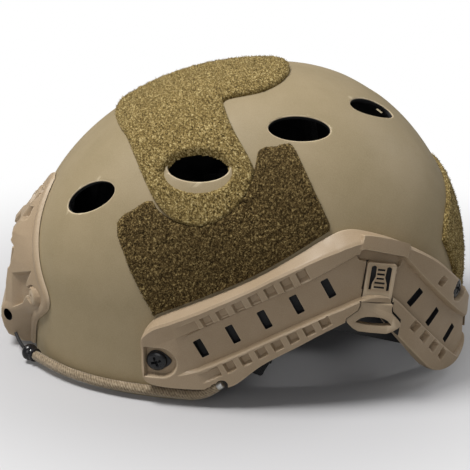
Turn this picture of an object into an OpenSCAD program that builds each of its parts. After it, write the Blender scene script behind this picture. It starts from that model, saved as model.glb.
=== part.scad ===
// High-cut combat helmet with side rails, front shroud, loop patches and a dial fit band.
// It stands on its rim. The front is -Y and the wearer's left is +X.
// Solids are drawn with y = 0 at the widest section, and then moved to the middle of the length.

/* [Shell] */
// Half width of the shell at the ears
shell_half_width = 101; // [96:1:106]
// Reach of the shell ahead of its widest section
shell_front = 148; // [142:1:154]
// Reach of the shell behind its widest section
shell_rear = 116; // [112:1:122]
// Height of the widest section above the rim
equator_z = 54; // [51:1:57]
// Rise of the crown above the widest section
shell_rise = 116; // [111:1:121]
// Thickness of the shell wall
shell_wall = 3; // [2.4:0.1:3.6]

/* [Vents] */
// Length of a vent
vent_length = 36; // [30:1:38]
// Width of a vent
vent_width = 18.5; // [14:0.5:20]
// Width of the bare shell left below the middle vent
vent_margin = 5.5; // [3:0.5:7]

/* [Side rails] */
// How far the rail's outer ridge stands off the shell
rail_ridge_off = 9.6; // [8.8:0.1:10.4]
// How far the rail's lips stand off the shell
rail_lip_off = 8.6; // [7.8:0.1:8.8]
// How far the rail's channel floor stands off the shell
rail_floor_off = 4.6; // [4:0.1:5.4]
// Side of a square lip pocket
pocket_size = 5.2; // [4.2:0.1:5.8]
// Depth of a square lip pocket
pocket_depth = 3; // [1.5:0.1:3.5]
// Distance between neighbouring lip pockets
pocket_pitch = 9.8; // [8.6:0.1:10]
// Length of a channel slot
slot_length = 11.5; // [8:0.5:12.5]
// Width of a channel slot
slot_width = 4.6; // [3:0.1:5.4]
// Distance between neighbouring channel slots
slot_pitch = 19.9; // [18:0.1:20.5]

/* [Strap clips] */
// Width of the clip's tongue
clip_width = 16.4; // [14:0.2:17]
// Thickness of the clip's tongue
clip_thick = 2.8; // [2.2:0.1:3]
// Width of the clip's hook
hook_width = 31; // [26:1:33]
// Height of the clip's hook
hook_height = 17.5; // [16:0.5:20]
// Clearance between a clip and its rail
clip_gap = 0.4; // [0.3:0.05:0.5]

/* [Fasteners] */
// Radius of a rail screw's head
screw_head_r = 5.9; // [5:0.1:6.6]
// Radius of a rail or shroud screw's shank
screw_r = 2.45; // [2:0.05:2.6]
// Radius of a nut's barrel
nut_barrel_r = 3.5; // [3.3:0.1:4]
// Radius of a nut's flange
nut_flange_r = 7; // [6:0.5:8]
// Thickness of a nut's flange
nut_flange_h = 1.5; // [1.2:0.1:2]

/* [Shroud] */
// How far the shroud's nose stands off the shell
shroud_reach = 19.4; // [18:0.2:21]
// Thickness of the shroud's flange
shroud_flange = 4.2; // [3.4:0.1:5]
// Width of the shroud's mounting socket
socket_width = 30; // [26:1:32]
// Depth of the shroud's mounting socket
socket_depth = 7; // [5:0.5:8]
// Radius of the cross hole through the shroud's nose
nose_hole_r = 2.5; // [2:0.1:2.8]

/* [Patches] */
// Thickness of the side and rear loop patches
patch_thick = 2.2; // [1.6:0.1:2.6]
// Thickness of the top loop patch
top_patch_thick = 2.8; // [2.2:0.1:3.2]

/* [Brim cord] */
// Diameter of the elastic brim cord
cord_d = 4.6; // [3.6:0.1:5]

/* [Pads] */
// Thickness of the foam pads
pad_thick = 15; // [12:0.5:17]

/* [Fit band] */
// Height of the band arms
band_height = 20; // [16:1:24]
// Thickness of the band arms
band_thick = 2; // [1.6:0.1:2.4]
// Gear module of the dial's rack and pinion
gear_module = 1; // [0.9:0.05:1.1]
// Teeth on the dial's pinion
pinion_teeth = 16; // [14:1:18]
// Radius of the dial knob
knob_r = 17; // [14:0.5:18]
// Thickness of the dial knob
knob_h = 8.5; // [7:0.5:9]
// Radius of the dial's shaft
shaft_r = 3; // [2.6:0.1:3.4]

/* [Webbing] */
// Width of the chin webbing
web_width = 19; // [16:1:20]
// Thickness of the chin webbing
web_thick = 1.6; // [1.2:0.1:1.8]

/* [Hidden] */

// Shape of the shell: powers of its plan and of its side, front and rear profiles
plan_power = 2.4;
side_power = 2.2;
front_power = 1.9;
rear_power = 2;
// How much wider the shell grows towards the rear
egg = 0.05;
// Gap between a piece and the curved face that it seats on
seat = 0.3;
// Gap between a screw and the hole that it passes through freely
screw_gap = 0.45;
// Gap between a screw and the thread of its nut
thread_gap = 0.05;
// Gap between a nut's barrel and the hole in the shell
barrel_gap = 0.2;
// Everything moves back by this much, so that the origin is in the middle of the length
shift_y = (shell_front + shroud_reach - shell_rear - seat - patch_thick) / 2;

shell_color = "#8c7a5c";
plastic_color = "#94795f";
pile_color = "#6b5a36";
black = "#1b1b1d";
foam_color = "#26262a";
steel_color = "#b9b9b4";

// Dome geometry
function clamp(v, lo, hi) = min(max(v, lo), hi);

// Value of the dome's equation at p: below 1 inside the dome grown by off, above 1 outside
function dome(p, off) =
  let(
    v = p.y / ((p.y < 0 ? shell_front : shell_rear) + off),
    u = abs(p.x) / ((shell_half_width + off) * (1 + egg * clamp(v, -1, 1))),
    w = max(p.z - equator_z, 0) / (shell_rise + off),
    share = v * v / (u * u + v * v + 1e-9),
    m = side_power + ((p.y < 0 ? front_power : rear_power) - side_power) * share
  )
  pow(pow(pow(u, plan_power) + pow(abs(v), plan_power), m / plan_power) + pow(w, m), 1 / m);

// Distance from base along dir to the dome grown by off, found by halving
function reach(base, dir, off, lo, hi, n = 20) =
  n == 0 ? (lo + hi) / 2 :
  let(mid = (lo + hi) / 2)
  dome(base + mid * dir, off) < 1 ? reach(base, dir, off, mid, hi, n - 1)
                                  : reach(base, dir, off, lo, mid, n - 1);

// Outward normal of the dome grown by off at p
function normal(p, off) =
  let(
    e = 0.05,
    g = [
      dome(p + [e, 0, 0], off) - dome(p - [e, 0, 0], off),
      dome(p + [0, e, 0], off) - dome(p - [0, e, 0], off),
      dome(p + [0, 0, e], off) - dome(p - [0, 0, e], off)
    ]
  )
  g / norm(g);

// Points on the grown dome, seen from the left side, the front, the rear and above
function side_pt(y, z, off) = [reach([0, y, z], [1, 0, 0], off, 0, 160), y, z];
function front_pt(x, z, off) = [x, -reach([x, 0, z], [0, -1, 0], off, 0, 200), z];
function rear_pt(x, z, off) = [x, reach([x, 0, z], [0, 1, 0], off, 0, 200), z];
function top_pt(x, y, off) = [x, y, reach([x, y, 0], [0, 0, 1], off, 0, 200)];

// A point on the girdle, at angle b from the top, y behind the widest section
function girdle_pt(b, y, off) =
  let(base = [0, y, equator_z], d = [sin(b), 0, cos(b)])
  base + d * reach(base, d, off, 0, 160);

// The same place as p, which lies on the dome grown by ref, moved along the normal to off
function on_layer(p, ref, off) =
  let(n = normal(p, ref), d = off - ref)
  p + n * reach(p, n, off, d - 3, d + 3, 14);

// Frame on the dome: +Z outward, +Y up and +X along the surface, as seen from outside
module face_frame(p, off) {
  n = normal(p, off);
  translate(p) rotate([0, -asin(n.z), atan2(n.y, n.x)]) rotate([90, 0, 90]) children();
}

// Frame with its origin at o and its axes along x, y and z
module axis_frame(o, x, y, z) {
  multmatrix([
    [x.x, y.x, z.x, o.x],
    [x.y, y.y, z.y, o.y],
    [x.z, y.z, z.z, o.z],
    [0, 0, 0, 1]
  ]) children();
}

// Left and right copies of what is drawn on the left
module both_sides() {
  children();
  mirror([1, 0, 0]) children();
}

// Moves a finished piece into the part's frame
module place() {
  translate([0, shift_y, 0]) children();
}

// Closed solid between two grids of points. Rows go up and columns go right, seen from outside.
module slab(outer, inner) {
  rows = len(outer);
  cols = len(outer[0]);
  function id(k, i, j) = (k * rows + i) * cols + j;
  points = [for (grid = [outer, inner]) for (row = grid) for (p = row) p];
  skins = [
    for (i = [0:rows - 2], j = [0:cols - 2])
      let(a = id(0, i, j), b = id(0, i + 1, j), c = id(0, i + 1, j + 1), d = id(0, i, j + 1),
          s = rows * cols)
      each [[a, b, c], [a, c, d], [a + s, c + s, b + s], [a + s, d + s, c + s]]
  ];
  ends = [
    for (j = [0:cols - 2])
      let(a = id(0, 0, j), d = a + 1, e = id(0, rows - 1, j), f = e + 1, s = rows * cols)
      each [[a, d, d + s], [a, d + s, a + s], [e, e + s, f + s], [e, f + s, f]]
  ];
  sides = [
    for (i = [0:rows - 2])
      let(a = id(0, i, 0), b = id(0, i + 1, 0), d = id(0, i, cols - 1),
          c = id(0, i + 1, cols - 1), s = rows * cols)
      each [[b, a, a + s], [b, a + s, b + s], [d, c, c + s], [d, c + s, d + s]]
  ];
  polyhedron(points, concat(skins, ends, sides));
}

// Shell
// Height of the rim along the side: level brim, ear cut-out, level nape
rim_line = [
  [-52, 0], [-44, 4], [-36, 16], [-15, 31], [-3, 39.5], [18, 50], [38, 59], [45, 61],
  [51, 60], [61, 46], [71, 34], [84, 18], [92, 9], [100, 3], [106, 0]
];

function plan_dir(t) =
  let(c = [sin(t), -cos(t)])
  c * pow(pow(abs(c.x), plan_power) + pow(abs(c.y), plan_power), -1 / plan_power);
function profile_power(t) =
  let(d = plan_dir(t))
  side_power + ((d.y < 0 ? front_power : rear_power) - side_power) * d.y * d.y / (d * d);
function meridian(t, c, w, off) =
  let(d = plan_dir(t), v = d.y * c)
  [
    d.x * c * (shell_half_width + off) * (1 + egg * v),
    v * ((d.y < 0 ? shell_front : shell_rear) + off),
    equator_z + (shell_rise + off) * w
  ];
function at_height(t, z, off) =
  let(
    m = profile_power(t),
    w = max(z - equator_z, 0) / (shell_rise + off),
    p = meridian(t, pow(max(1 - pow(w, m), 0), 1 / m), w, off)
  )
  [p.x, p.y, z];
function at_latitude(t, q, off) =
  let(m = profile_power(t))
  meridian(t, pow(cos(q), 2 / m), pow(sin(q), 2 / m), off);

// The rim follows the ear cut-out by its distance along the side
function rim_z(t) = lookup(meridian(t, 1, 0, 0).y, rim_line);

shell_stations = 72;
// Shares of the way from the rim to the blend height at which the wall has a row of points
wall_shares = [0, 0.42, 0.7, 0.86, 1];
wall_rows = len(wall_shares);
dome_rows = 13;
// Height at which the level rows give way to rows of latitude
blend_z = equator_z + 20;

function shell_rows(off) = [
  for (share = wall_shares)
    [for (j = [0:shell_stations - 1])
      let(t = 360 * j / shell_stations, z = rim_z(t))
      at_height(t, z + (blend_z - z) * share, off)],
  for (i = [1:dome_rows - 1])
    [for (j = [0:shell_stations - 1])
      let(
        t = 360 * j / shell_stations,
        q = asin(pow((blend_z - equator_z) / (shell_rise + off), profile_power(t) / 2))
      )
      at_latitude(t, q + (90 - q) * i / dome_rows, off)]
];

module dome_shell() {
  rows = wall_rows + dome_rows - 1;
  n = shell_stations;
  outer = shell_rows(0);
  inner = shell_rows(-shell_wall);
  points = [
    for (grid = [outer, inner]) for (row = grid) for (p = row) p,
    [0, 0, equator_z + shell_rise],
    [0, 0, equator_z + shell_rise - shell_wall]
  ];
  function id(k, i, j) = (k * rows + i) * n + j % n;
  s = rows * n;
  top = 2 * s;
  skins = [
    for (i = [0:rows - 2], j = [0:n - 1])
      let(a = id(0, i, j), b = id(0, i + 1, j), c = id(0, i + 1, j + 1), d = id(0, i, j + 1))
      each [[a, b, c], [a, c, d], [a + s, c + s, b + s], [a + s, d + s, c + s]]
  ];
  caps = [
    for (j = [0:n - 1])
      let(a = id(0, rows - 1, j), d = id(0, rows - 1, j + 1), e = id(0, 0, j), f = id(0, 0, j + 1))
      each [[a, top, d], [a + s, d + s, top + 1], [e, f, f + s], [e, f + s, e + s]]
  ];
  polyhedron(points, concat(skins, caps));
}

// Vents on the left: the place seen from the side or from above, and the turn of the long axis
vent_spots = [
  [side_pt(-108.6, 111, 0), 31],
  [side_pt(-47.3, 133.5, 0), 3],
  [side_pt(10.2, 151.2, 0), -5],
  [top_pt(28, 57, 0), -36]
];

// Oval prism through the wall at a vent, grown by extra and lengthened downwards by drop
module vent_prism(spot, extra = 0, drop = 0) {
  face_frame(spot[0], 0) rotate([0, 0, spot[1]]) translate([0, -drop / 2, -15])
    linear_extrude(30)
      scale([vent_length / 2 + extra, vent_width / 2 + extra * 0.3 + drop / 2])
        circle(1, $fn = 40);
}

// Rail screws on the left, front and rear, seen from the side
rail_ref = 8;
rail_spots = [[-73.4, 27.3], [103, 56]];
shell_hole_r = nut_barrel_r + barrel_gap;

// Depth of the shell's inner face below p, along the normal of the dome grown by ref
function wall_depth(p, ref) = norm(p - on_layer(p, ref, -shell_wall));

module at_rail_spot(spot) {
  face_frame(side_pt(spot.x, spot.y, rail_ref), rail_ref) children();
}

// The same axis, with z = 0 on the shell's inner face
module inside_rail_spot(spot) {
  at_rail_spot(spot) translate([0, 0, -wall_depth(side_pt(spot.x, spot.y, rail_ref), rail_ref)])
    children();
}

// Shroud screws: one above and one on each flank, seen from the front
shroud_ref = 6;
shroud_top_spot = [0, 98];
shroud_side_spot = [40, 45];

module at_shroud_spot(spot) {
  face_frame(front_pt(spot.x, spot.y, shroud_ref), shroud_ref) children();
}

module at_all_shroud_spots() {
  at_shroud_spot(shroud_top_spot) children();
  both_sides() at_shroud_spot(shroud_side_spot) children();
}

module inside_all_shroud_spots() {
  for (spot = [shroud_top_spot, shroud_side_spot], side = [0, 1])
    if (side == 0 || spot.x > 0) mirror([side, 0, 0]) at_shroud_spot(spot)
      translate([0, 0, -wall_depth(front_pt(spot.x, spot.y, shroud_ref), shroud_ref)])
        children();
}

module shell() {
  color(shell_color) place() difference() {
    dome_shell();
    both_sides() {
      for (spot = vent_spots) vent_prism(spot);
      for (spot = rail_spots) at_rail_spot(spot)
        translate([0, 0, -25]) cylinder(h = 25, r = shell_hole_r, $fn = 32);
    }
    at_all_shroud_spots() translate([0, 0, -22]) cylinder(h = 20, r = shell_hole_r, $fn = 32);
  }
}

// Side rails
rail_front = -82;
rail_rear = shell_rear - 3.2;
front_arm_angle = 27.5;
rear_arm_angle = -52;

// Outline and crease lines of the left rail, as [distance along the side, height]
rail_bottom = [
  [rail_front, 22], [-81, 16.5], [-79, 13.6], [-75, 11.8], [-66, 11.2], [-53, 11.2], [-44, 11.8],
  [-36.6, 12.6], [-32, 13.6], [-28, 15.8], [-23.5, 19.6], [-16.4, 26], [-9.4, 30.6], [5.8, 38.8],
  [18, 46], [38, 55.6], [46, 57.5], [51, 56], [61, 42.3], [71, 30], [84.6, 13], [90, 9.4],
  [95, 7.8], [102, 7], [107, 8.4], [110.5, 12], [rail_rear, 18]
];
rail_top = [
  [rail_front, 40], [-81, 44], [-79, 47], [-75, 51.4], [-70.5, 54.2], [-54, 62], [-41, 68],
  [-28, 73.6], [-11, 82.2], [6, 92], [19.5, 100], [29, 104.4], [36, 105.4], [44.6, 104], [63.2, 97.4],
  [83.9, 84.7], [99, 68.3], [107, 57.5], [rail_rear, 46]
];
// Width of the sloping flange above the rail's ridge
rail_flange = [
  [rail_front, 3], [-74, 4], [-66, 4.8], [-49, 4.8], [-28, 4], [-9, 4.3], [10, 6.8], [27, 9.6],
  [34, 9], [46, 6], [66, 3.4], [rail_rear, 3]
];
// Lower edge of the upper lip, and upper edge of the lower lip
rail_lip = [
  [rail_front, 33], [-66, 40.6], [-26.6, 61], [13, 79], [38, 91.7], [46, 91], [66.5, 86],
  [111.8, 31.6], [rail_rear, 30.4]
];
rail_low_lip = [
  [rail_front, 26.5], [-72, 21.5], [-58, 20.2], [-26, 35.8], [-12.8, 42.6], [0, 48.8], [20.4, 58.2],
  [32.4, 62.8], [40, 65.8], [48, 67.8], [58.4, 65.8], [65.4, 59.4], [106.5, 9.4], [rail_rear, 2]
];
// The channel fades out towards the front screw, and a little towards the rear end
rail_floor = [
  [-62, rail_lip_off], [-53, rail_floor_off + 1.6], [-46, rail_floor_off], [98, rail_floor_off],
  [rail_rear, rail_floor_off + 2.6]
];
rail_y = [
  rail_front, -81, -79, -75, -70.5, -66, -62, -58, -52, for (y = [-45:7.2:85]) y,
  90, 96, 102, 107, 110.5, rail_rear
];

// Section of the rail at y, from its bottom edge up, as [height, stand-off]
function rail_section(y) =
  let(
    bottom = lookup(y, rail_bottom),
    top = lookup(y, rail_top),
    ridge = top - lookup(y, rail_flange),
    lip = min(lookup(y, rail_lip), ridge - 2),
    low = max(lookup(y, rail_low_lip), bottom + 3),
    floor_off = lookup(y, rail_floor)
  )
  [
    [bottom, 4.4],
    [bottom + 1.2, rail_lip_off],
    [low - 0.8, rail_lip_off],
    [low, max(rail_lip_off - 0.7, floor_off)],
    [low + 0.6, floor_off],
    [(low + lip) / 2, floor_off],
    [lip - 0.6, floor_off],
    [lip, max(rail_lip_off - 1, floor_off)],
    [lip + 0.9, rail_lip_off],
    [ridge, rail_ridge_off],
    [ridge + 1.6, rail_ridge_off - 0.9],
    [top, 1.8]
  ];

function rail_grid(inner) = [
  for (k = [0:len(rail_section(0)) - 1])
    [for (y = rail_y)
      let(s = rail_section(y)[k])
      on_layer(side_pt(y, s[0], rail_ref), rail_ref, inner ? seat : s[1])]
];

// Straight run of places along a rail arm, as [distance along the side, height]
function run(start, angle, pitch, count) =
  [for (i = [0:count - 1]) start + i * pitch * [cos(angle), sin(angle)]];

row_angle = 27;
rear_row_angle = -51.5;
upper_pockets = run([-44.8, 55.3], row_angle, pocket_pitch, 7);
lower_pockets = run([-32, 27.3], row_angle, pocket_pitch, 7);
rear_pockets = run([73.4, 44.3], rear_row_angle, 1.06 * pocket_pitch, 4);
front_slots = run([-48.3, 36.8], row_angle, slot_pitch, 5);
rear_slots = run([75.3, 60.4], rear_row_angle, 1.04 * slot_pitch, 3);
long_pocket_upper = [-55.5, 49.8];
long_pocket_lower = [-43.4, 21.6];
rear_single_pocket = [89.7, 67];

module lip_pocket(spot, angle, length = pocket_size) {
  face_frame(side_pt(spot.x, spot.y, rail_ref), rail_ref) rotate([0, 0, angle])
    translate([-length / 2, -pocket_size / 2, rail_lip_off - rail_ref - pocket_depth])
      cube([length, pocket_size, 8]);
}

module channel_slot(spot, angle) {
  face_frame(side_pt(spot.x, spot.y, rail_ref), rail_ref) rotate([0, 0, angle])
    translate([-slot_width / 2, -slot_length / 2, -rail_ref - 4])
      cube([slot_width, slot_length, rail_ref + 6]);
}

// Screw seat in the rail: the D-shaped front one reaches towards the rail's front edge
screw_seat_off = 4.4;
screw_seat_r = screw_head_r + 3.4;
screw_seat_front = 7;
screw_seat_shift = 2.8;
rear_seat_r = screw_head_r + 1.2;

module screw_seats() {
  at_rail_spot(rail_spots[0]) translate([0, 0, screw_seat_off - rail_ref]) {
    translate([screw_seat_shift, 0, 0]) cylinder(h = 10, r = screw_seat_r, $fn = 48);
    translate([-screw_seat_front, -screw_seat_r, 0])
      cube([screw_seat_front + screw_seat_shift, 2 * screw_seat_r, 10]);
  }
  at_rail_spot(rail_spots[1]) translate([0, 0, screw_seat_off - rail_ref])
    cylinder(h = 10, r = rear_seat_r, $fn = 48);
}

module screw_holes() {
  for (spot = rail_spots) at_rail_spot(spot)
    translate([0, 0, -20]) cylinder(h = 30, r = screw_r + screw_gap, $fn = 32);
}

// Strap clip: a ribbed tongue that slides down out of a guide at the rail's apex
clip_y = 50;
clip_z = 66;
clip_off = 5;
clip_tilt = 8;
clip_lean = 5;
clip_top = 19.5;
clip_neck = 12;
hook_stand = 5;
// The hook starts this far below the tongue's origin, and the guide's lip covers the neck above it
hook_drop = 3.2;

// Frame of the clip: +X to the rear, +Y inward, +Z up along the tongue
module clip_frame() {
  translate(side_pt(clip_y, clip_z, clip_off))
    rotate([0, 0, 90]) rotate([-clip_lean, clip_tilt, 0]) children();
}

module clip_space() {
  flare = [for (i = [0:5]) [
    hook_outline[i].x * hook_width / 2 + clip_gap,
    clip_gap - hook_drop - hook_outline[i].y * hook_height
  ]];
  half = clip_width / 2 + clip_gap;
  deep = clip_thick / 2 + clip_gap;
  clip_frame() {
    translate([-half, -deep, -60]) cube([2 * half, 2 * deep, 60 + clip_top + clip_gap]);
    translate([-half - 1.2, -20, 3.4]) cube([2 * half + 2.4, 20, clip_top + clip_gap - 2.2]);
    translate([-half - 0.8, -20, -60]) cube([2 * half + 1.6, 20 + deep, 60 + clip_gap - hook_drop]);
    // Path of the hook as it slides down
    translate([0, deep, 0]) rotate([90, 0, 0]) linear_extrude(20 + deep)
      polygon(concat(
        [for (p = flare) [-p.x, p.y]],
        [[-flare[5].x, -60], [flare[5].x, -60]],
        [for (i = [5:-1:0]) flare[i]]
      ));
  }
}

// Block that bridges the two arms above the clip, and the undercut below it
bridge_spot = [54.5, 95];
bridge_angle = -17;
bridge_size = [29.5, 9.4];
bridge_off = 10.6;
undercut_spot = [53, 88.2];
undercut_size = [27, 6.4];
undercut_off = 2.6;

module bridge_block() {
  face_frame(side_pt(bridge_spot.x, bridge_spot.y, rail_ref), rail_ref)
    rotate([0, 0, bridge_angle])
      translate([-bridge_size.x / 2, -bridge_size.y / 2, -5])
        cube([bridge_size.x, bridge_size.y, 5 + bridge_off - rail_ref]);
}

module bridge_undercut() {
  face_frame(side_pt(undercut_spot.x, undercut_spot.y, rail_ref), rail_ref)
    rotate([0, 0, bridge_angle])
      translate([-undercut_size.x / 2, -undercut_size.y / 2, undercut_off - rail_ref])
        cube([undercut_size.x, undercut_size.y, 12]);
}

// Notch in the rail's lower edge, which holds the rear end of the brim cord
cord_notch_spots = [[-43, 10.6], [-39.8, 13], [-36.6, 15.2]];
cord_notch_r = 3.6;

module cord_notch() {
  for (spot = cord_notch_spots) face_frame(side_pt(spot.x, spot.y, rail_ref), rail_ref)
    cylinder(h = 40, r = cord_notch_r, center = true, $fn = 40);
}

module rail() {
  difference() {
    union() {
      slab(rail_grid(false), rail_grid(true));
      bridge_block();
    }
    bridge_undercut();
    clip_space();
    for (spot = upper_pockets) lip_pocket(spot, front_arm_angle);
    for (spot = lower_pockets) lip_pocket(spot, front_arm_angle);
    for (spot = rear_pockets) lip_pocket(spot, rear_arm_angle);
    lip_pocket(long_pocket_upper, front_arm_angle, 2.2 * pocket_size);
    lip_pocket(long_pocket_lower, front_arm_angle, 2.2 * pocket_size);
    lip_pocket(rear_single_pocket, rear_arm_angle);
    for (spot = front_slots) channel_slot(spot, front_arm_angle);
    for (spot = rear_slots) channel_slot(spot, rear_arm_angle);
    screw_seats();
    screw_holes();
    cord_notch();
  }
}

module left_rail() {
  color(plastic_color) place() rail();
}

module right_rail() {
  color(plastic_color) place() mirror([1, 0, 0]) rail();
}

// Pan head screw with its head on z = 0 and its shank going down
module pan_screw(head_r, shank) {
  head_h = 3.4;
  difference() {
    rotate_extrude($fn = 48) polygon([
      [0, -shank], [screw_r, -shank], [screw_r, 0], [head_r, 0], [head_r, head_h * 0.45],
      [head_r * 0.82, head_h * 0.85], [head_r * 0.5, head_h], [0, head_h]
    ]);
    for (a = [0, 90]) rotate([0, 0, a]) translate([-3, -0.6, head_h - 1.8]) cube([6, 1.2, 3]);
  }
}

// Flanged nut on an inner wall at z = 0, with its flange below z = -stand and its barrel going up
module flange_nut(stand) {
  barrel = stand + shell_wall * 0.8;
  translate([0, 0, -stand]) difference() {
    union() {
      translate([0, 0, -nut_flange_h]) cylinder(h = nut_flange_h, r = nut_flange_r, $fn = 40);
      cylinder(h = barrel, r = nut_barrel_r, $fn = 40);
    }
    translate([0, 0, -5]) cylinder(h = 5 + barrel + 1, r = screw_r + thread_gap, $fn = 32);
  }
}

// A rail nut clamps the webbing against the shell, and a shroud nut seats on the shell itself
nut_stand = 0.6;
web_nut_stand = web_thick + 1.5;
screw_seat_depth = rail_ref - screw_seat_off;

module rail_screws() {
  color(black) place() both_sides() for (spot = rail_spots) {
    depth = wall_depth(side_pt(spot.x, spot.y, rail_ref), rail_ref);
    at_rail_spot(spot) translate([0, 0, -screw_seat_depth])
      pan_screw(screw_head_r, depth - screw_seat_depth + web_nut_stand + nut_flange_h);
  }
}

module rail_nuts() {
  color(steel_color) place() both_sides() for (spot = rail_spots)
    inside_rail_spot(spot) flange_nut(web_nut_stand);
}

// Strap clip
rung_count = 5;
// Half outline of the hook below the tongue, as shares of its half width and of its height
hook_outline = [
  [0.55, 0], [0.57, 0.14], [0.61, 0.3], [0.8, 0.46], [0.97, 0.58], [1, 0.66], [0.94, 0.76],
  [0.72, 0.9], [0.45, 0.97], [0, 1]
];
hook_eye = [[0, 0.46], [0.3, 0.48], [0.5, 0.55], [0.68, 0.7], [0.3, 0.75], [0, 0.76]];

// Both halves of an outline, hung from z = top
function hook_points(half, top) = concat(
  [for (p = half) [p.x * hook_width / 2, top - p.y * hook_height]],
  [for (i = [len(half) - 1:-1:0]) [-half[i].x * hook_width / 2, top - half[i].y * hook_height]]
);

module strap_clip() {
  clip_frame() difference() {
    union() {
      translate([-clip_width / 2, -clip_thick / 2, -clip_neck])
        cube([clip_width, clip_thick, clip_neck + clip_top]);
      translate([0, clip_thick / 2, 0]) rotate([90, 0, 0]) linear_extrude(hook_stand)
        polygon(hook_points(hook_outline, -hook_drop));
    }
    // Eye of the hook
    translate([0, 20, 0]) rotate([90, 0, 0]) linear_extrude(40)
      polygon(hook_points(hook_eye, -hook_drop));
    // Recess of the tongue, with a waisted spring leg between two side slots
    translate([0, -clip_thick / 2 + 0.9, 0]) rotate([90, 0, 0]) linear_extrude(5) difference() {
      polygon([[-5.6, 3.9], [5.6, 3.9], [5.6, 17.2], [-5.6, 17.2]]);
      polygon([
        [-4.2, 3], [4.2, 3], [4.2, 7], [2.6, 11.5], [2.8, 18], [-2.8, 18], [-2.6, 11.5], [-4.2, 7]
      ]);
    }
    for (s = [-1, 1]) translate([s * 4.7 - 0.6, -5, 9]) cube([1.2, 10, 7.4]);
    // Grip rungs
    for (i = [0:rung_count - 1])
      translate([-2, -clip_thick / 2 - 1, 5 + i * 2.5]) cube([4, 2, 1.1]);
  }
}

module left_strap_clip() {
  color(plastic_color) place() strap_clip();
}

module right_strap_clip() {
  color(plastic_color) place() mirror([1, 0, 0]) strap_clip();
}

// Shroud
// Half width of the shroud's flange by height
shroud_half_width = [
  [6, 24], [9, 28], [18, 35], [28, 43], [36, 51], [45, 54], [54, 51], [64, 45], [79, 40.5],
  [90, 37], [103, 30], [109, 22], [113, 12]
];
// Front of the shroud on its middle plane, as [stand-off from the shell's foremost point, height]
shroud_front_line = [
  [10, 7], [17.5, 11], [18.4, 17], [shroud_reach, 24], [16.5, 31], [15, 44], [13.6, 54],
  [12.4, 64], [10.4, 76], [8, 84], [5, 90], [-4, 99], [-10, 106], [-17.5, 112]
];
shroud_ridge_half = 17;
// The flange is wide, so it stands a little further off the shell than a narrow piece
shroud_seat = seat + 0.25;

module shroud_flange_plate() {
  heights = [for (s = shroud_half_width) s[0]];
  function grid(off) = [
    for (z = heights)
      [for (f = [-1:1 / 6:1.001])
        on_layer(front_pt(f * lookup(z, shroud_half_width), z, 1), 1, off)]
  ];
  slab(grid(shroud_flange), grid(shroud_seat));
}

// Faceted body: hull of the ridge lines and of a narrower outline on the flange
module shroud_body(line, low, high) {
  inset = 7;
  spots = concat(
    [for (p = line) for (s = [-1, 1])
      [s * shroud_ridge_half * (p[1] > 95 ? 0.6 : 1), -shell_front - p[0], p[1]]],
    [for (w = shroud_half_width) if (w[0] >= low && w[0] <= high)
      for (s = [-1, 1]) let(p = front_pt(w[1] - inset, w[0], 1)) [s * p.x, p.y, p.z]]
  );
  hull() polyhedron(spots, [[for (i = [0:len(spots) - 1]) i]]);
}

module shell_core() {
  function grid(off) = [
    for (z = [-10:10:130])
      [for (x = [-64:8:64])
        let(h = min(z, 122)) [x, front_pt(x, h, off).y, z]]
  ];
  function back() = [for (z = [-10:10:130]) [for (x = [-64:8:64]) [x, -60, z]]];
  slab(grid(shroud_seat), back());
}

// Side pocket of the shroud: outline seen from the front, cut to a depth behind the foremost point
module shroud_pocket(outline, depth) {
  translate([0, -shell_front - depth, 0]) rotate([90, 0, 0]) linear_extrude(40) polygon(outline);
}

socket_bottom = 34;
socket_top = 82;
nose_hole_spot = [-shell_front - 13.5, 20];
boss_r = 5.6;
// Height of the screw heads' seats above the shroud's reference layer
boss_seat = 1.4;

module shroud() {
  color(plastic_color) place() difference() {
    union() {
      shroud_flange_plate();
      difference() {
        union() {
          shroud_body([for (p = shroud_front_line) if (p[1] <= 44) p], 9, 54);
          shroud_body([for (p = shroud_front_line) if (p[1] >= 31) p], 28, 113);
        }
        shell_core();
        both_sides() {
          shroud_pocket([[23, 33], [34, 29], [36, 36], [33, 50], [23, 54]], 3);
          shroud_pocket([[20.5, 60], [33, 60], [31, 72], [20.5, 76]], 2);
          shroud_pocket([[13, 84], [28, 82], [24, 92], [13, 93]], -6);
        }
      }
      at_shroud_spot(shroud_top_spot) cylinder(h = 3, r = boss_r, $fn = 40);
      both_sides() at_shroud_spot(shroud_side_spot)
        translate([0, 0, -3]) cylinder(h = 3 + boss_seat, r = boss_r, $fn = 40);
    }
    // Mounting socket with its latch notch
    translate([-socket_width / 2, -shell_front - 40, socket_bottom])
      cube([socket_width, 40 - 15 + socket_depth + 3, socket_top - socket_bottom - 8]);
    translate([-6, -shell_front - 40, socket_top - 9]) cube([12, 40 - 12 + socket_depth, 9]);
    // Cross hole of the nose
    translate([-60, nose_hole_spot[0], nose_hole_spot[1]]) rotate([0, 90, 0])
      cylinder(h = 120, r = nose_hole_r, $fn = 40);
    at_all_shroud_spots() {
      translate([0, 0, -20]) cylinder(h = 40, r = screw_r + screw_gap, $fn = 32);
      translate([0, 0, boss_seat]) cylinder(h = 20, r = shroud_head_r + 0.4, $fn = 40);
    }
  }
}

shroud_head_r = 4.4;

module shroud_screws() {
  color(plastic_color) place() for (spot = [shroud_top_spot, shroud_side_spot], side = [0, 1])
    if (side == 0 || spot.x > 0) {
      depth = wall_depth(front_pt(spot.x, spot.y, shroud_ref), shroud_ref);
      mirror([side, 0, 0]) at_shroud_spot(spot) translate([0, 0, boss_seat])
        pan_screw(shroud_head_r, boss_seat + depth + nut_stand + nut_flange_h);
    }
}

module shroud_nuts() {
  color(steel_color) place() inside_all_shroud_spots() flange_nut(nut_stand);
}

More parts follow.
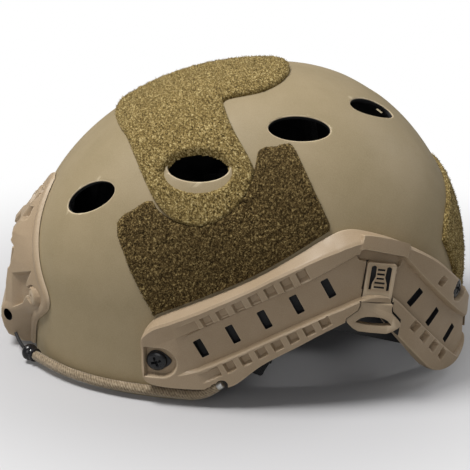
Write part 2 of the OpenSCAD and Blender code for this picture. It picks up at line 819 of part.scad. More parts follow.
// Loop patches
// Front and rear edges of the top patch, by girdle angle from the top
top_patch_front = [
  [0, -93], [14, -91], [22.4, -87], [36.2, -81], [44.7, -76.2], [50.3, -72.3], [54.1, -68.5],
  [57.4, -62.8], [59.6, -55.1], [60.4, -49]
];
top_patch_rear = [
  [0, 11], [4, 10.4], [8, 8], [12, 4], [15, -1.5], [17.5, -9], [18.6, -20], [19.2, -31.5],
  [24, -30.5], [30.5, -27.6], [37.1, -22.2], [42.2, -17.8], [45.2, -16.4], [48.3, -17.4],
  [52.3, -21.6], [56.7, -29.7], [59.5, -38.6], [60.4, -45]
];
top_patch_angles = [
  0, 4, 8, 12, 15, 17.5, 18.6, 19.2, 24, 30.5, 36.2, 42.2, 45.2, 48.3, 52.3, 56.7, 59.5, 60.4
];
top_patch_columns = 9;

module top_patch() {
  angles = concat(
    [for (i = [len(top_patch_angles) - 1:-1:1]) -top_patch_angles[i]], top_patch_angles
  );
  function grid(off) = [
    for (i = [len(angles) - 1:-1:0])
      [for (j = [0:top_patch_columns - 1])
        let(
          b = angles[i],
          front = lookup(abs(b), top_patch_front),
          rear = lookup(abs(b), top_patch_rear)
        )
        girdle_pt(b, front + (rear - front) * j / (top_patch_columns - 1), off)]
  ];
  color(pile_color) place() difference() {
    slab(grid(seat + top_patch_thick), grid(seat));
    both_sides() vent_prism(vent_spots[1], 2, vent_margin);
  }
}

// Side patch: its lower edge follows the rail and its upper edge clears the top patch
patch_gap = 1;
side_patch_y = [
  -93, -91, -88, -84, -79, -74, -71, -66, -60, -54, -48, -40, -33, -27, -22, -18, -15, -11, -6,
  0, 4, 7, 12, 18, 24
];
side_patch_top = [
  [-93, 101], [-91, 104.8], [-88, 107.6], [-73, 115], [-71, 110.2], [-66, 107], [-60, 104.5],
  [-54, 103.4], [-48, 103.4], [-40, 105.6], [-33, 108.9], [-27, 113.4], [-22, 119.8], [-17.5, 128],
  [-15, 136], [-13.5, 141], [2, 145], [5, 144.4], [7.5, 141], [15, 125], [24, 105.9]
];
side_patch_front_edge = [[-93, 96], [-86, 77], [-78.5, 61.5], [-74, 54]];

module side_patch() {
  function low(y) = max(lookup(y, rail_top) + 2.2, y < -74 ? lookup(y, side_patch_front_edge) : 0);
  function high(y) = max(lookup(y, side_patch_top), low(y) + 0.6);
  rows = 9;
  function grid(off) = [
    for (i = [0:rows - 1])
      [for (y = side_patch_y)
        on_layer(side_pt(y, low(y) + (high(y) - low(y)) * i / (rows - 1), 1), 1, off)]
  ];
  slab(grid(seat + patch_thick), grid(seat + 0.1));
}

module left_side_patch() {
  color(pile_color) place() side_patch();
}

module right_side_patch() {
  color(pile_color) place() mirror([1, 0, 0]) side_patch();
}

rear_patch_top = [[0, 108], [20, 107], [36, 103.5], [50, 99], [57, 95.5], [63, 90], [67, 84]];
rear_patch_bottom = [[0, 30], [34, 31], [42, 35], [50, 43], [58, 56], [63, 68], [67, 82]];

module rear_patch() {
  spots = [-67, -63, -58, -50, -42, -34, -24, -12, 0, 12, 24, 34, 42, 50, 58, 63, 67];
  rows = 8;
  function grid(off) = [
    for (i = [0:rows - 1])
      [for (k = [len(spots) - 1:-1:0])
        let(
          x = spots[k],
          low = lookup(abs(x), rear_patch_bottom),
          high = lookup(abs(x), rear_patch_top)
        )
        on_layer(rear_pt(x, low + (high - low) * i / (rows - 1), 1), 1, off)]
  ];
  color(pile_color) place() slab(grid(seat + patch_thick), grid(seat));
}

// Brim cord, held along the brim from its hook under the shroud to its ferrule by the rail
cord_stand = cord_d / 2 + seat;
// Plan angle, height and stand-off of each station
cord_spots = [
  [24.5, 4.5, 7.9], [27.8, 4, 6.7], [32.6, 3.4, 6.4], [37.8, 3.2, 5.5], [42.7, 3.6, 4.8],
  [48.1, 4.2, 4.2], [54.2, 4.8, 4], [60.4, 5.2, 4], [66, 5.4, 4.2], [70.5, 6, 4.6],
  [73.2, 8.8, 5.3], [75.7, 13.6, 5.9]
];
cord_route = [for (spot = cord_spots) at_height(spot.x, spot.y, spot.z)];
cord_sides = 8;

function cord_dir(i) =
  let(a = cord_route[max(i - 1, 0)], b = cord_route[min(i + 1, len(cord_route) - 1)], d = b - a)
  d / norm(d);
function cord_ring(i) =
  let(
    d = cord_dir(i),
    side = cross(d, [0, 0, 1]),
    u = side / norm(side),
    w = cross(u, d)
  )
  [for (k = [0:cord_sides - 1])
    let(a = 360 * k / cord_sides)
    cord_route[i] + cord_d / 2 * (cos(a) * u + sin(a) * w)];

module brim_cord() {
  n = len(cord_route);
  m = cord_sides;
  points = [for (i = [0:n - 1]) each cord_ring(i), cord_route[0], cord_route[n - 1]];
  skin = [
    for (i = [0:n - 2], k = [0:m - 1])
      let(a = i * m + k, b = i * m + (k + 1) % m, c = b + m, d = a + m)
      each [[a, c, b], [a, d, c]]
  ];
  caps = [
    for (k = [0:m - 1])
      let(e = (n - 1) * m)
      each [[n * m, k, (k + 1) % m], [n * m + 1, e + (k + 1) % m, e + k]]
  ];
  polyhedron(points, concat(skin, caps));
}

module left_brim_cord() {
  color("#9a8262") place() brim_cord();
}

module right_brim_cord() {
  color("#9a8262") place() mirror([1, 0, 0]) brim_cord();
}

// Turned body drawn along +Z, pointed from a to b
module between(a, b) {
  d = b - a;
  translate(a) rotate([0, acos(d.z / norm(d)), atan2(d.y, d.x)]) children();
}

// Black hook at the front end of the cord
hook_length = 10.5;
hook_r = 4.2;
module cord_hook() {
  a = cord_route[0];
  b = a - cord_dir(0);
  between(a, b) rotate_extrude($fn = 32) polygon([
    [0, 0], [3.2, 0], [3.6, 1.2], [3, 2.4], [3.4, 3], [hook_r, 5], [hook_r, 7.4], [3.2, 9.6],
    [1.4, hook_length], [0, hook_length]
  ]);
}

module left_cord_hook() {
  color(black) place() cord_hook();
}

module right_cord_hook() {
  color(black) place() mirror([1, 0, 0]) cord_hook();
}

// Thin black loop from the hook to the shroud's lower edge
lanyard_r = 0.9;
lanyard_foot = [19, -shell_front - 11, 9.4];
module hook_lanyards() {
  tip = cord_route[0] - cord_dir(0) * (hook_length + 0.5);
  color(black) place() both_sides() {
    between(tip, lanyard_foot) cylinder(h = norm(lanyard_foot - tip), r = lanyard_r, $fn = 16);
  }
}

module cord_ferrules() {
  n = len(cord_route);
  a = cord_route[n - 1];
  color(steel_color) place() both_sides()
    between(a, a + cord_dir(n - 1)) cylinder(h = 3.6, r = cord_d / 2 - 0.5, $fn = 24);
}

// Foam pads. The thickness falls away towards the edges, which gives a crowned face.
pad_rows = 7;
pad_cols = 9;
function swell(f) = 1 - pow(abs(2 * f - 1), 4) * 0.45;
function pad_inner(i, j) =
  -shell_wall - seat - pad_thick * swell(i / (pad_rows - 1)) * swell(j / (pad_cols - 1));

// Pad over plan angles t0 to t1 and heights z0 to z1
module wall_pad(t0, t1, z0, z1) {
  function spot(i, j, off) =
    at_height(t0 + (t1 - t0) * j / (pad_cols - 1), z0 + (z1 - z0) * i / (pad_rows - 1), off);
  slab(
    [for (i = [0:pad_rows - 1])
      [for (j = [0:pad_cols - 1]) spot(i, j, -shell_wall - seat)]],
    [for (i = [0:pad_rows - 1])
      [for (j = [0:pad_cols - 1]) spot(i, j, pad_inner(i, j))]]
  );
}

// Pad under the crown, over x from -half to half and y from y0 to y1
module crown_pad() {
  half = 36;
  y0 = -62;
  y1 = 34;
  function spot(i, j, off) =
    top_pt(
      half - 2 * half * i / (pad_rows - 1), y0 + (y1 - y0) * j / (pad_cols - 1), off);
  color(foam_color) place() slab(
    [for (i = [0:pad_rows - 1])
      [for (j = [0:pad_cols - 1]) spot(i, j, -shell_wall - seat)]],
    [for (i = [0:pad_rows - 1])
      [for (j = [0:pad_cols - 1]) spot(i, j, pad_inner(i, j))]]
  );
}

// Lower and upper edges of the pads on the wall
front_pad_span = [56, 82];
rear_pad_span = [70, 112];
temple_pad_span = [46, 92];
side_pad_span = [86, 122];

module front_pad() {
  color(foam_color) place() wall_pad(-26, 26, front_pad_span[0], front_pad_span[1]);
}

module rear_pad() {
  color(foam_color) place() wall_pad(154, 206, rear_pad_span[0], rear_pad_span[1]);
}

module temple_pad() {
  wall_pad(36, 58, temple_pad_span[0], temple_pad_span[1]);
}

module left_temple_pad() {
  color(foam_color) place() temple_pad();
}

module right_temple_pad() {
  color(foam_color) place() mirror([1, 0, 0]) temple_pad();
}

module side_pad() {
  wall_pad(76, 112, side_pad_span[0], side_pad_span[1]);
}

module left_side_pad() {
  color(foam_color) place() side_pad();
}

module right_side_pad() {
  color(foam_color) place() mirror([1, 0, 0]) side_pad();
}

// Dial and fit band
dial_y = shell_rear - 25;
dial_z = 22;
pinion_r = gear_module * pinion_teeth / 2;
backlash = 0.12;
rack_thick = 3.6;
rack_back = 3.4;
run_gap = 0.3;
housing_half = 32;
housing_wall = 2.2;
rack_tip = pinion_r - 0.85 * gear_module;
rack_root = pinion_r + 1.15 * gear_module;
slot_half = rack_root + rack_back + run_gap;
housing_half_z = slot_half + housing_wall;
rack_travel = 15;

// Middle of the left band arm, from the temple over the ear and down to the rack
band_x = shell_half_width - 22;
rack_end = housing_half + rack_travel + 3;
band_route = [
  [band_x - 1, -42, 60], [band_x, -20, 61], [band_x, 0, 59], [band_x, 12, 54],
  [band_x - 1, 28, 45.5], [band_x - 4, 46, 39], [band_x - 10, 63, 32], [band_x - 15, 77, 26],
  [band_x - 19, dial_y - 2, dial_z], [rack_end + 6, dial_y, dial_z], [rack_end, dial_y, dial_z]
];

// Upright ribbon of the given height along a route, with its outer face away from the head
module upright_ribbon(route, height, thick) {
  n = len(route);
  side = [for (i = [0:n - 1])
    let(d = route[min(i + 1, n - 1)] - route[max(i - 1, 0)], f = [d.x, d.y])
    [f.y, -f.x, 0] / norm(f)];
  function grid(s) = [
    for (h = [-0.5, 0.5]) [for (i = [0:n - 1]) route[i] + side[i] * s + [0, 0, h * height]]
  ];
  slab(grid(thick / 2), grid(-thick / 2));
}

// Straight rack with its pitch line on z = pinion_r and a tooth space above the pinion's centre
module rack_bar(from, to) {
  pitch = PI * gear_module;
  half_tooth = pitch / 4 - backlash / 2;
  slope = tan(20);
  tip = half_tooth - (pinion_r - rack_tip) * slope;
  root = half_tooth + (rack_root - pinion_r) * slope;
  first = ceil((from + root) / pitch - 0.5);
  last = floor((housing_half - 2 - root) / pitch - 0.5);
  rotate([90, 0, 0]) linear_extrude(rack_thick, center = true) union() {
    translate([from, rack_root]) square([to - from, rack_back]);
    for (i = [first:last]) translate([(i + 0.5) * pitch, 0])
      polygon([[-root, rack_root + 0.1], [-tip, rack_tip], [tip, rack_tip], [root, rack_root + 0.1]]);
  }
}

// Band arm on the left, whose rack runs above the pinion, or below it
module band_arm(above) {
  upright_ribbon(band_route, band_height, band_thick);
  translate([0, dial_y, dial_z]) mirror([0, 0, above ? 0 : 1]) {
    rack_bar(-14, rack_end + 5);
    translate([rack_end, -rack_thick / 2, -band_height / 2])
      cube([5, rack_thick, band_height / 2 + rack_root + rack_back]);
  }
}

module left_band_arm() {
  color(black) place() band_arm(true);
}

module right_band_arm() {
  color(black) place() mirror([1, 0, 0]) band_arm(false);
}

// Involute tooth outline of the pinion
function involute(r, a) = r * [cos(a) + a * PI / 180 * sin(a), sin(a) - a * PI / 180 * cos(a)];
module pinion_outline() {
  base_r = pinion_r * cos(20);
  tip_r = pinion_r + 0.9 * gear_module;
  foot_r = pinion_r - 1.2 * gear_module;
  pitch_a = acos(base_r / pinion_r);
  roll = tan(pitch_a) * 180 / PI;
  half = 90 / pinion_teeth - backlash / 2 / pinion_r * 180 / PI + (roll - pitch_a);
  tip_roll = sqrt(pow(tip_r / base_r, 2) - 1) * 180 / PI;
  flank = [for (i = [0:5]) involute(base_r, tip_roll * i / 5)];
  function turn(p, a) = [p.x * cos(a) - p.y * sin(a), p.x * sin(a) + p.y * cos(a)];
  union() {
    circle(foot_r, $fn = 64);
    for (k = [0:pinion_teeth - 1]) rotate(90 + 360 * k / pinion_teeth) polygon(concat(
      [[foot_r * 0.9, -1]],
      [for (p = flank) turn(p, -half)],
      [for (i = [5:-1:0]) turn([flank[i].x, -flank[i].y], half)],
      [[foot_r * 0.9, 1]]
    ));
  }
}

module dial_pinion() {
  color("#cfc8b8") place() translate([0, dial_y, dial_z]) rotate([90, 0, 0])
    difference() {
      linear_extrude(rack_thick, center = true) pinion_outline();
      cylinder(h = 20, r = shaft_r, center = true, $fn = 32);
    }
}

// The knob stands behind the cover, and its shaft runs through to the housing's back wall
cover_y = rack_thick / 2 + run_gap;
knob_y = cover_y + housing_wall + 0.5;
shaft_gap = 0.06;
knob_grips = 18;
module dial_knob() {
  color(black) place() translate([0, dial_y, dial_z]) {
    rotate([-90, 0, 0]) translate([0, 0, knob_y]) difference() {
      cylinder(h = knob_h, r = knob_r, $fn = 72);
      for (k = [0:knob_grips - 1]) rotate([0, 0, 360 * k / knob_grips])
        translate([knob_r + 1, 0, -1]) cylinder(h = knob_h + 2, r = 1.9, $fn = 20);
      translate([0, 0, knob_h - 2]) difference() {
        cylinder(h = 3, r = knob_r - 4, $fn = 48);
        translate([-knob_r, -2, -1]) cube([2 * knob_r, 4, 5]);
      }
    }
    rotate([-90, 0, 0]) translate([0, 0, -cover_y - 1])
      cylinder(h = cover_y + knob_y + 1.5, r = shaft_r, $fn = 32);
  }
}

module housing_block(thick) {
  rotate([90, 0, 0]) linear_extrude(thick) hull() for (s = [-1, 1])
    translate([s * (housing_half - 8), 0]) for (t = [-1, 1])
      translate([0, t * (housing_half_z - 8)]) circle(8, $fn = 32);
}

housing_screw_x = housing_half - 6;
housing_screw_r = 1.2;

// Tray on the head side that holds the racks
module dial_housing() {
  color(black) place() translate([0, dial_y, dial_z]) difference() {
    translate([0, cover_y, 0]) housing_block(2 * cover_y + housing_wall);
    translate([-housing_half - 5, -cover_y, -slot_half])
      cube([2 * housing_half + 10, 2 * cover_y + 1, 2 * slot_half]);
    rotate([90, 0, 0]) cylinder(h = 40, r = shaft_r + shaft_gap, center = true, $fn = 32);
    for (s = [-1, 1]) translate([s * housing_screw_x, 0, 0]) rotate([90, 0, 0])
      cylinder(h = 40, r = housing_screw_r, center = true, $fn = 24);
  }
  color(black) place() translate([0, dial_y, dial_z]) for (s = [-1, 1])
    translate([s * housing_screw_x, cover_y, 0]) rotate([90, 0, 0]) difference() {
      cylinder(h = 2 * cover_y + 0.2, r = 2.6, $fn = 24);
      translate([0, 0, -1]) cylinder(h = 20, r = housing_screw_r, $fn = 24);
    }
}

module dial_cover() {
  color(black) place() translate([0, dial_y, dial_z]) difference() {
    translate([0, cover_y + housing_wall, 0]) housing_block(housing_wall);
    rotate([90, 0, 0]) cylinder(h = 40, r = shaft_r + shaft_gap, center = true, $fn = 32);
    for (s = [-1, 1]) translate([s * housing_screw_x, 0, 0]) rotate([90, 0, 0])
      cylinder(h = 40, r = housing_screw_r + 0.15, center = true, $fn = 24);
  }
}

module housing_screws() {
  color(steel_color) place() translate([0, dial_y, dial_z]) for (s = [-1, 1])
    translate([s * housing_screw_x, cover_y + housing_wall, 0]) rotate([-90, 0, 0]) {
      cylinder(h = 1.4, r = 2.4, $fn = 24);
      translate([0, 0, -5]) cylinder(h = 5.2, r = housing_screw_r - 0.05, $fn = 24);
    }
}

// Soft pad on the head side of the dial housing
module nape_pad() {
  pad = 8;
  color(foam_color) place()
    translate([0, dial_y - cover_y - housing_wall - seat, dial_z]) rotate([90, 0, 0])
      linear_extrude(pad) hull() for (s = [-1, 1]) translate([s * 20, 0]) circle(13, $fn = 32);
}

// Hanger from the inside of the shell down to the dial housing
hanger_width = 22;
hanger_thick = 2.4;
module nape_hanger() {
  top = dial_z + housing_half_z;
  bend = dial_z + knob_r + 5;
  function plate(off) = [
    for (z = [54:4:70]) [for (x = [hanger_width / 2:-hanger_width / 4:-hanger_width / 2])
      rear_pt(x, z, off)]
  ];
  foot = rear_pt(0, 58, -shell_wall - seat - hanger_thick).y;
  color(black) place() {
    slab(plate(-shell_wall - seat), plate(-shell_wall - seat - hanger_thick));
    translate([-hanger_width / 2, 0, 0]) rotate([90, 0, 90]) linear_extrude(hanger_width)
      polygon([
        [dial_y - 0.5, top], [dial_y + 2, top], [dial_y + 2, bend], [foot + 0.4, 55.5],
        [foot + 0.4, 59], [dial_y - 0.5, bend + 1.5]
      ]);
  }
}

// Chin webbing, folded up inside the shell
// The wall is hollow, so the middle of a strap stands further off it than the strap's edges
web_bow = 0.6;
web_off = -shell_wall - seat - web_bow - web_thick / 2;
bar_thick = 2.2;
bar_width = 3;
// Radius of the webbing's turn round a slider bar
wrap_r = bar_thick / 2 + seat + web_thick / 2;
web_tail = 13;

function unit(v) = v / norm(v);

// Frame of the left slider: origin, rearward, upward and outward directions
slider_spot = [-10, 64];
slider_off = -8;
slider_o = on_layer(side_pt(slider_spot.x, slider_spot.y, rail_ref), rail_ref, slider_off);
slider_n = normal(slider_o, slider_off);
slider_x = unit(cross([0, 0, 1], slider_n));
slider_u = cross(slider_n, slider_x);
function on_slider(x, y, z) = slider_o + x * slider_x + y * slider_u + z * slider_n;

// A station of webbing is its middle and the direction of its width
// Stations along the inside of the shell, for places given along the side as the rail's are
function laid(route) =
  let(
    p = [for (r = route) on_layer(side_pt(r[0], r[1], rail_ref), rail_ref, web_off)],
    n = len(p)
  )
  [for (i = [0:n - 1])
    [p[i], unit(cross(normal(p[i], web_off), p[min(i + 1, n - 1)] - p[max(i - 1, 0)]))]];

// Stations of a turn from p, going on along d and coming back on the side away from n
function turned(p, d, n, r, tail) = concat(
  [for (a = [0:30:180]) [p + r * (sin(a) * d + (cos(a) - 1) * n), cross(n, d)]],
  [[p - tail * d - 2 * r * n, cross(n, d)]]
);

module webbing(stations) {
  n = len(stations);
  flat = [for (i = [0:n - 1])
    unit(cross(stations[min(i + 1, n - 1)][0] - stations[max(i - 1, 0)][0], stations[i][1]))];
  function grid(t) = [
    for (h = [-0.5, 0.5])
      [for (i = [0:n - 1]) stations[i][0] + h * web_width * stations[i][1] + t * flat[i]]
  ];
  slab(grid(web_thick / 2), grid(-web_thick / 2));
}

// Slider where the front, rear and chin straps meet. Its outer bars are this far from its middle.
slider_half = 17;
slider_slot = 3.6;
side_bar = slider_half - bar_width;
foot_bar = web_width / 2 + slider_slot + 1.5;
front_strap_route = [
  [-82, 23.5], [rail_spots[0].x, rail_spots[0].y], [-62, 35], [-52, 44], [-46, 51], [-41, 58],
  [-37, slider_spot.y - 1]
];
rear_strap_route = [
  [111, 47], [107, 51.5], [rail_spots[1].x, rail_spots[1].y], [98, 60], [92, 64], [80, 70.5],
  [66, 74], [52, 75],
  [40, 73.5], [30, 70], [23, 66.5], [17, slider_spot.y + 1]
];

module strap_hole(spot) {
  at_rail_spot(spot) translate([0, 0, -30]) cylinder(h = 30, r = shell_hole_r, $fn = 32);
}

module front_strap() {
  difference() {
    webbing(concat(
      laid(front_strap_route),
      [[on_slider(-slider_half - 3, 0, wrap_r), slider_u]],
      turned(on_slider(-side_bar - 0.4, 0, wrap_r), slider_x, slider_n, wrap_r, web_tail)
    ));
    strap_hole(rail_spots[0]);
  }
}

module rear_strap() {
  difference() {
    webbing(concat(
      laid(rear_strap_route),
      [[on_slider(slider_half + 3, 0, wrap_r), -slider_u]],
      turned(on_slider(side_bar + 0.4, 0, wrap_r), -slider_x, slider_n, wrap_r, web_tail)
    ));
    strap_hole(rail_spots[1]);
  }
}

module left_front_strap() {
  color(black) place() front_strap();
}

module right_front_strap() {
  color(black) place() mirror([1, 0, 0]) front_strap();
}

module left_rear_strap() {
  color(black) place() rear_strap();
}

module right_rear_strap() {
  color(black) place() mirror([1, 0, 0]) rear_strap();
}

module slider() {
  slot = web_width + 1;
  axis_frame(slider_o, slider_x, slider_u, slider_n)
    linear_extrude(bar_thick, center = true) difference() {
      translate([-slider_half, -foot_bar - bar_width])
        square([2 * slider_half, foot_bar + bar_width + slot / 2 + 2.5]);
      for (s = [-1, 1]) translate([s * (side_bar - slider_slot / 2) - slider_slot / 2, -slot / 2])
        square([slider_slot, slot]);
      translate([-slot / 2, -foot_bar]) square([slot, slider_slot]);
      translate([-side_bar + slider_slot + 3, -slot / 2 + 3])
        square([2 * (side_bar - slider_slot - 3), slot - 6]);
    }
}

module left_slider() {
  color(black) place() slider();
}

module right_slider() {
  color(black) place() mirror([1, 0, 0]) slider();
}

// The chin strap hangs from the slider's foot bar, folds below the ear and goes back up
fold_spot = [-11, -41.5];
fold_dir = unit([-9, -22]);
fold_r = 4.7;
// The outer run leans inward on its way down, clear of the rim
fold_lean = 0.6;
fold_d = fold_dir.x * slider_x + fold_dir.y * slider_u;

module chin_strap() {
  bar_turn = turned(on_slider(0, -foot_bar - 0.4, wrap_r), slider_u, slider_n, wrap_r, web_tail);
  down = [[-1, -22, wrap_r], [-3.5, -28.5, wrap_r - fold_lean / 2], [-7, -35, wrap_r - fold_lean]];
  fold = turned(on_slider(fold_spot.x, fold_spot.y, wrap_r - fold_lean), fold_d, slider_n, fold_r, 11);
  webbing(concat(
    [for (i = [len(fold) - 1:-1:0]) [fold[i][0], -fold[i][1]]],
    [for (i = [2:-1:0])
      [on_slider(down[i].x, down[i].y, down[i].z),
        unit(cross(slider_n, (3 - i) * slider_u - i * fold_d))]],
    bar_turn
  ));
}

module left_chin_strap() {
  color(black) place() chin_strap();
}

module right_chin_strap() {
  color(black) place() mirror([1, 0, 0]) chin_strap();
}

// Side-release buckle in its two halves: the webbing ends in a mouth of each
mouth = [web_width + 0.6, 9, web_thick + 0.6];
module at_buckle() {
  o = on_slider(fold_spot.x, fold_spot.y, wrap_r - fold_lean - 2 * fold_r) - 3 * fold_d;
  axis_frame(o, cross(slider_n, fold_d), -fold_d, cross(cross(slider_n, fold_d), -fold_d))
    children();
}

module buckle_socket() {
  color(black) place() at_buckle() difference() {
    translate([-12.5, 0, -4]) cube([25, 30, 8]);
    translate([-mouth.x / 2, -1, -mouth.z / 2]) cube(mouth);
    translate([-9.5, 11, -2.3]) cube([19, 20, 4.6]);
    for (s = [-1, 1]) translate([s * 12.5 - 2.5, 17, -2.3]) cube([5, 9, 4.6]);
  }
}

module buckle_plug() {
  color(black) place() mirror([1, 0, 0]) at_buckle() {
    difference() {
      translate([-12.5, 0, -3.5]) cube([25, 12, 7]);
      translate([-mouth.x / 2, -1, -mouth.z / 2]) cube(mouth);
    }
    for (s = [-1, 1]) {
      translate([s * 8.5 - 1.5, 11, -2]) cube([3, 17, 4]);
      translate([s * 9.3 - 2.2, 18, -2]) cube([4.4, 8, 4]);
    }
    translate([-1.5, 11, -1.5]) cube([3, 15, 3]);
  }
}

shell();
left_rail();
right_rail();
rail_screws();
rail_nuts();
left_strap_clip();
right_strap_clip();
shroud();
shroud_screws();
shroud_nuts();
top_patch();
left_side_patch();
right_side_patch();
rear_patch();
left_brim_cord();
right_brim_cord();
left_cord_hook();
right_cord_hook();
hook_lanyards();
cord_ferrules();
crown_pad();
front_pad();
rear_pad();
left_temple_pad();
right_temple_pad();
left_side_pad();
right_side_pad();
dial_housing();
dial_cover();
housing_screws();
dial_knob();
dial_pinion();
left_band_arm();
right_band_arm();
nape_pad();
nape_hanger();
left_front_strap();
right_front_strap();
left_rear_strap();
right_rear_strap();
left_slider();
right_slider();
left_chin_strap();
right_chin_strap();
buckle_socket();
buckle_plug();
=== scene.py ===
"""Looks of the combat helmet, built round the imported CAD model.

Lengths in this script are millimetres in the drawing frame, where y = 0 is the widest section.
mesh_piece() turns them into metres in the part's frame.
"""
import math

import bmesh
import bpy
import numpy as np
from mathutils import Matrix, Vector


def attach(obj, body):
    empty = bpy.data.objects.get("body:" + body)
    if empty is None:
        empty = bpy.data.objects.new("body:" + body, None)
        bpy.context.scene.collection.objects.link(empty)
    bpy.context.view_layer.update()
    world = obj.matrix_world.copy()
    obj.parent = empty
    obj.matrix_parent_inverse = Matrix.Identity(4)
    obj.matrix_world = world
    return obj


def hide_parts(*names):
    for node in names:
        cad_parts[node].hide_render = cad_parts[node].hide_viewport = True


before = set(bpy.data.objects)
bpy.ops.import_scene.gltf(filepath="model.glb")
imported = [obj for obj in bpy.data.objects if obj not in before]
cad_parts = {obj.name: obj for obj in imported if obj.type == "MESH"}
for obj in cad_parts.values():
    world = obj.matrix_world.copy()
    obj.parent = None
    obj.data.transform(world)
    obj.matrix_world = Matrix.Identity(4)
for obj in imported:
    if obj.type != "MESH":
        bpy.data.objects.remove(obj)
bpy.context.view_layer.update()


MM = 0.001
# Place of the widest section in the part's frame
SHIFT_Y = 24.45

# Shell dimensions, the same as in the part's source
HALF_WIDTH, FRONT, REAR, EQUATOR, RISE, WALL = 101.0, 148.0, 116.0, 54.0, 116.0, 3.0
PLAN_POWER, SIDE_POWER, FRONT_POWER, REAR_POWER, EGG = 2.4, 2.2, 1.9, 2.0, 0.05
# Gap between the shell and the hard pieces, pads and straps that lie on it
SEAT = 0.3
# Longer than any ray from the middle of the dome
RAY_LENGTH = 220
# The cut of the rim over the ear: heights by the distance along the side
RIM_LINE = [(-52, 0), (-44, 4), (-36, 16), (-15, 31), (-3, 39.5), (18, 50), (38, 59), (45, 61),
            (51, 60), (61, 46), (71, 34), (84, 18), (92, 9), (100, 3), (106, 0)]

rng = np.random.default_rng(7)


# Dome geometry
def lookup(v, table):
    """Value at v of a table of (place, value) pairs."""
    t = np.array(table, float)
    return np.interp(v, t[:, 0], t[:, 1])


def smooth_line(table, rounds=2):
    """Corner cutting of a line of points, which keeps its ends."""
    p = np.array(table, float)
    for _ in range(rounds):
        q = p[:-1] * 0.75 + p[1:] * 0.25
        r = p[:-1] * 0.25 + p[1:] * 0.75
        p = np.vstack([p[:1], np.stack([q, r], 1).reshape(-1, 2)[1:-1], p[-1:]])
    return p


def dome(p, off):
    """Below 1 inside the dome grown by off, and above 1 outside it."""
    x, y, z = p[..., 0], p[..., 1], p[..., 2]
    v = y / (np.where(y < 0, FRONT, REAR) + off)
    u = np.abs(x) / ((HALF_WIDTH + off) * (1 + EGG * np.clip(v, -1, 1)))
    w = np.maximum(z - EQUATOR, 0) / (RISE + off)
    share = v * v / (u * u + v * v + 1e-9)
    m = SIDE_POWER + (np.where(y < 0, FRONT_POWER, REAR_POWER) - SIDE_POWER) * share
    return ((u ** PLAN_POWER + np.abs(v) ** PLAN_POWER) ** (m / PLAN_POWER) + w ** m) ** (1 / m)


def reach(base, way, off, lo, hi, steps=24):
    """Distances from base along way to the dome grown by off, between lo and hi."""
    lo, hi = (np.broadcast_to(np.asarray(v, float), base.shape[:-1]) for v in (lo, hi))
    for _ in range(steps):
        mid = (lo + hi) / 2
        inside = dome(base + mid[..., None] * way, off) < 1
        lo, hi = np.where(inside, mid, lo), np.where(inside, hi, mid)
    return (lo + hi) / 2


def unit(v):
    v = np.asarray(v, float)
    return v / np.linalg.norm(v, axis=-1, keepdims=True)


def normal(p, off, e=0.05):
    """Outward normals of the dome grown by off."""
    g = [dome(p + np.eye(3)[k] * e, off) - dome(p - np.eye(3)[k] * e, off) for k in range(3)]
    return unit(np.stack(g, -1))


def cast(base, way, off):
    """Points where rays from inside meet the dome grown by off."""
    base, way = np.broadcast_arrays(np.asarray(base, float), np.asarray(way, float))
    return base + way * reach(base, way, off, 0, RAY_LENGTH)[..., None]


def straight_out(axis, sign, a, b, off):
    """Points on the dome along an axis from the places (a, b) in the plane across it."""
    a, b = np.broadcast_arrays(np.asarray(a, float), np.asarray(b, float))
    base = np.insert(np.stack([a, b], -1), axis, 0, -1)
    return cast(base, sign * np.eye(3)[axis], off)


def side_pt(y, z, off):
    return straight_out(0, 1, y, z, off)


def front_pt(x, z, off):
    return straight_out(1, -1, x, z, off)


def rear_pt(x, z, off):
    return straight_out(1, 1, x, z, off)


def top_pt(x, y, off):
    return straight_out(2, 1, x, y, off)


def girdle_pt(b, y, off):
    """b is the angle from the top, in degrees."""
    b, y = np.broadcast_arrays(np.radians(b), np.asarray(y, float))
    base = np.stack([0 * b, y, 0 * b + EQUATOR], -1)
    return cast(base, np.stack([np.sin(b), 0 * b, np.cos(b)], -1), off)


def layer(p, n, ref, off):
    """Points p on the dome grown by ref, moved along their normals n to the dome grown by off."""
    off = np.broadcast_to(off, p.shape[:-1])
    d = off - ref
    return p + n * reach(p, n, off, d - 3, d + 3, 18)[..., None]


def on_layer(p, ref, off):
    return layer(p, normal(p, ref), ref, off)


def rotate(u, v, degrees):
    """Coordinates, or axes, in a frame turned by an angle."""
    c, s = math.cos(math.radians(degrees)), math.sin(math.radians(degrees))
    return u * c + v * s, v * c - u * s


def circle(count):
    return np.linspace(0, 2 * np.pi, count, endpoint=False)


def path_lengths(route):
    """Distance of each point along the route."""
    steps = np.linalg.norm(np.diff(route, axis=0), axis=1)
    return np.concatenate([[0], np.cumsum(steps)])


def face_axes(p, off):
    """Origin and axes on the dome: along the surface, up it, and outward, as seen from outside."""
    n = normal(p, off)
    x = unit([-n[1], n[0], 0])
    return p, x, np.cross(n, x), n


# Mesh making
def grid_faces(rows, cols, wrap=False, start=0, flip=False):
    """Quads of a grid whose rows go up and columns go right, as seen from outside."""
    i, j = np.meshgrid(np.arange(rows - 1), np.arange(cols if wrap else cols - 1), indexing="ij")
    a, d = i * cols + j, i * cols + (j + 1) % cols
    f = np.stack([a, d, d + cols, a + cols], -1).reshape(-1, 4) + start
    return (f[:, ::-1] if flip else f).tolist()


def closed_faces(rows, sides, flip=False):
    """Faces of a closed tube: a wrapped grid with a cap at each end."""
    caps = [list(range(sides))[::-1], list(range((rows - 1) * sides, rows * sides))]
    return grid_faces(rows, sides, True, flip=flip) + [f[::-1] if flip else f for f in caps]


